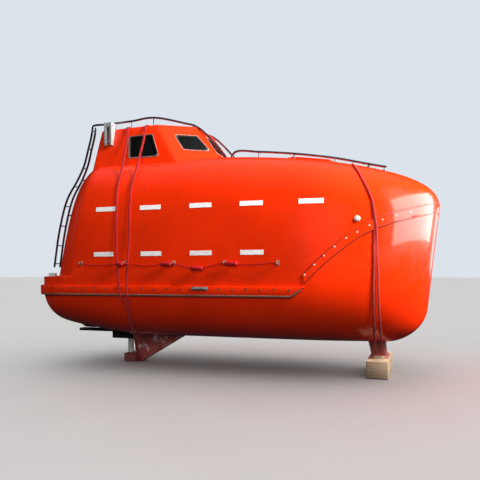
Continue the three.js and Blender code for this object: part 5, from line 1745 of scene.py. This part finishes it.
class LIFEBOAT_OT_stage(bpy.types.Operator):
    """Pale floor, soft lights and the camera at the photograph's place"""
    bl_idname = "lifeboat.stage"
    bl_label = "Floor, lights and camera"

    def execute(self, context):
        stage = context.scene.lifeboat_stage
        mesh = bpy.data.meshes.new("floor")
        corners = [(x * FLOOR_REACH, y * FLOOR_REACH, 0) for x, y in ((-1, -1), (1, -1), (1, 1), (-1, 1))]
        mesh.from_pydata(corners, [], [(0, 1, 2, 3)])
        mesh.materials.append(pale_floor("pale_floor", stage.floor_colour))
        floor = new_piece("floor", mesh)
        floor.visible_diffuse = floor.visible_glossy = False
        context.scene.world = soft_surround(stage.surround)
        for name, place, target, size, power_share, colour, seen in LIGHTS:
            lamp = bpy.data.lights.new(name, "AREA")
            lamp.shape, (lamp.size, lamp.size_y), lamp.color = "RECTANGLE", size, colour
            lamp.energy = stage.key_power * power_share
            light = put_light(name, lamp, floor, "EXCLUDE")
            light.location = place
            light.rotation_euler = facing(Vector(target) - Vector(place))
            light.visible_diffuse, light.visible_glossy = seen != "glossy", seen != "diffuse"
        wide = bpy.data.lights.new("floor_light", "SUN")
        wide.angle, wide.energy = 2.4, stage.floor_light
        put_light("floor_light", wide, floor, "INCLUDE")
        lens = bpy.data.cameras.new("photograph_view")
        lens.sensor_width, lens.lens, lens.shift_y = 36.0, stage.lens, stage.shift_up
        camera = new_piece("photograph_view", lens)
        camera.location = stage.camera_place
        camera.rotation_euler = facing(stage.camera_way)
        context.scene.camera = camera
        context.scene.view_settings.view_transform = "Standard"
        return {"FINISHED"}


# Settings that a user would change
def number(name, description, default, unit="NONE"):
    return FloatProperty(name=name, description=description, default=default, unit=unit)


def length(name, description, default):
    return number(name, description, default, "LENGTH")


def colour(name, description, default):
    return FloatVectorProperty(name=name, description=description, default=default, subtype="COLOR", size=3,
                               min=0, max=1)


class ShellSettings(bpy.types.PropertyGroup):
    gelcoat: colour("Gelcoat", "Colour of hull, canopy and wheelhouse", (0.80, 0.026, 0.0006))
    tape_length: length("Tape length", "Length of each reflective tape", 0.32)
    tape_height: length("Tape height", "Height of each reflective tape", 0.064)


class FasteningSettings(bpy.types.PropertyGroup):
    rail_spacing: length("Rail bolt spacing", "Between bolts of the rub rail", 0.19)
    seam_spacing: length("Seam bolt spacing", "Between bolts of the seam flange", 0.175)
    window_spacing: length("Window screw spacing", "Between screws round the windows", 0.11)
    seed: IntProperty(name="Seed", description="Turn of the fastener heads", default=7)


class LineSettings(bpy.types.PropertyGroup):
    rope_radius: length("Rope radius", "Radius of the grab line", 0.009)
    rope_lay: length("Rope lay", "Length of one turn of the strands", 0.055)
    float_radius: length("Float radius", "Radius of the floats on the grab line", 0.034)


class StageSettings(bpy.types.PropertyGroup):
    lens: number("Focal length", "For a frame 36 mm wide, in millimetres", 42.0, "CAMERA")
    shift_up: number("Shift", "Vertical shift of the view", 0.074)
    camera_place: FloatVectorProperty(name="Camera", description="Where the camera stands", size=3,
                                      subtype="TRANSLATION", default=(2.742, -8.220, 1.395))
    camera_way: FloatVectorProperty(name="Direction", description="Way the camera looks", size=3,
                                    subtype="XYZ", default=(-0.3141, 0.9494, 0.0))
    floor_colour: colour("Floor", "Colour of the floor", (0.74, 0.74, 0.73))
    key_power: number("Key light", "Power of the key light in watts", 5200.0, "POWER")
    floor_light: number("Floor light", "Strength of the light on the floor", 2.3)
    surround: number("Surround", "Strength of the surrounding light", 1.0)


SETTINGS = {"lifeboat_shell": ShellSettings, "lifeboat_fastenings": FasteningSettings,
            "lifeboat_lines": LineSettings, "lifeboat_stage": StageSettings}
STEPS = (LIFEBOAT_OT_stage, LIFEBOAT_OT_shell, LIFEBOAT_OT_bands, LIFEBOAT_OT_wheelhouse,
         LIFEBOAT_OT_tapes, LIFEBOAT_OT_rails, LIFEBOAT_OT_fittings, LIFEBOAT_OT_grab_lines,
         LIFEBOAT_OT_lashings, LIFEBOAT_OT_door, LIFEBOAT_OT_hatch, LIFEBOAT_OT_stern_gear,
         LIFEBOAT_OT_cradle, LIFEBOAT_OT_interior)


class LIFEBOAT_PT_pieces(bpy.types.Panel):
    """Builds the boat piece by piece"""
    bl_label = "Enclosed lifeboat"
    bl_idname = "LIFEBOAT_PT_pieces"
    bl_space_type = "VIEW_3D"
    bl_region_type = "UI"
    bl_category = "Lifeboat"

    def draw(self, context):
        for name, settings in SETTINGS.items():
            group = getattr(context.scene, name)
            column = self.layout.column(align=True)
            for key in settings.__annotations__:
                column.prop(group, key)
        for step in STEPS:
            self.layout.operator(step.bl_idname)


CLASSES = (*SETTINGS.values(), *STEPS, LIFEBOAT_PT_pieces)


def register():
    for cls in CLASSES:
        bpy.utils.register_class(cls)
    for name, settings in SETTINGS.items():
        setattr(bpy.types.Scene, name, PointerProperty(type=settings))


def unregister():
    for name in SETTINGS:
        delattr(bpy.types.Scene, name)
    for cls in reversed(CLASSES):
        bpy.utils.unregister_class(cls)


def main():
    register()
    for step in STEPS:
        group, name = step.bl_idname.split(".")
        getattr(getattr(bpy.ops, group), name)()


if __name__ == "__main__":
    main()
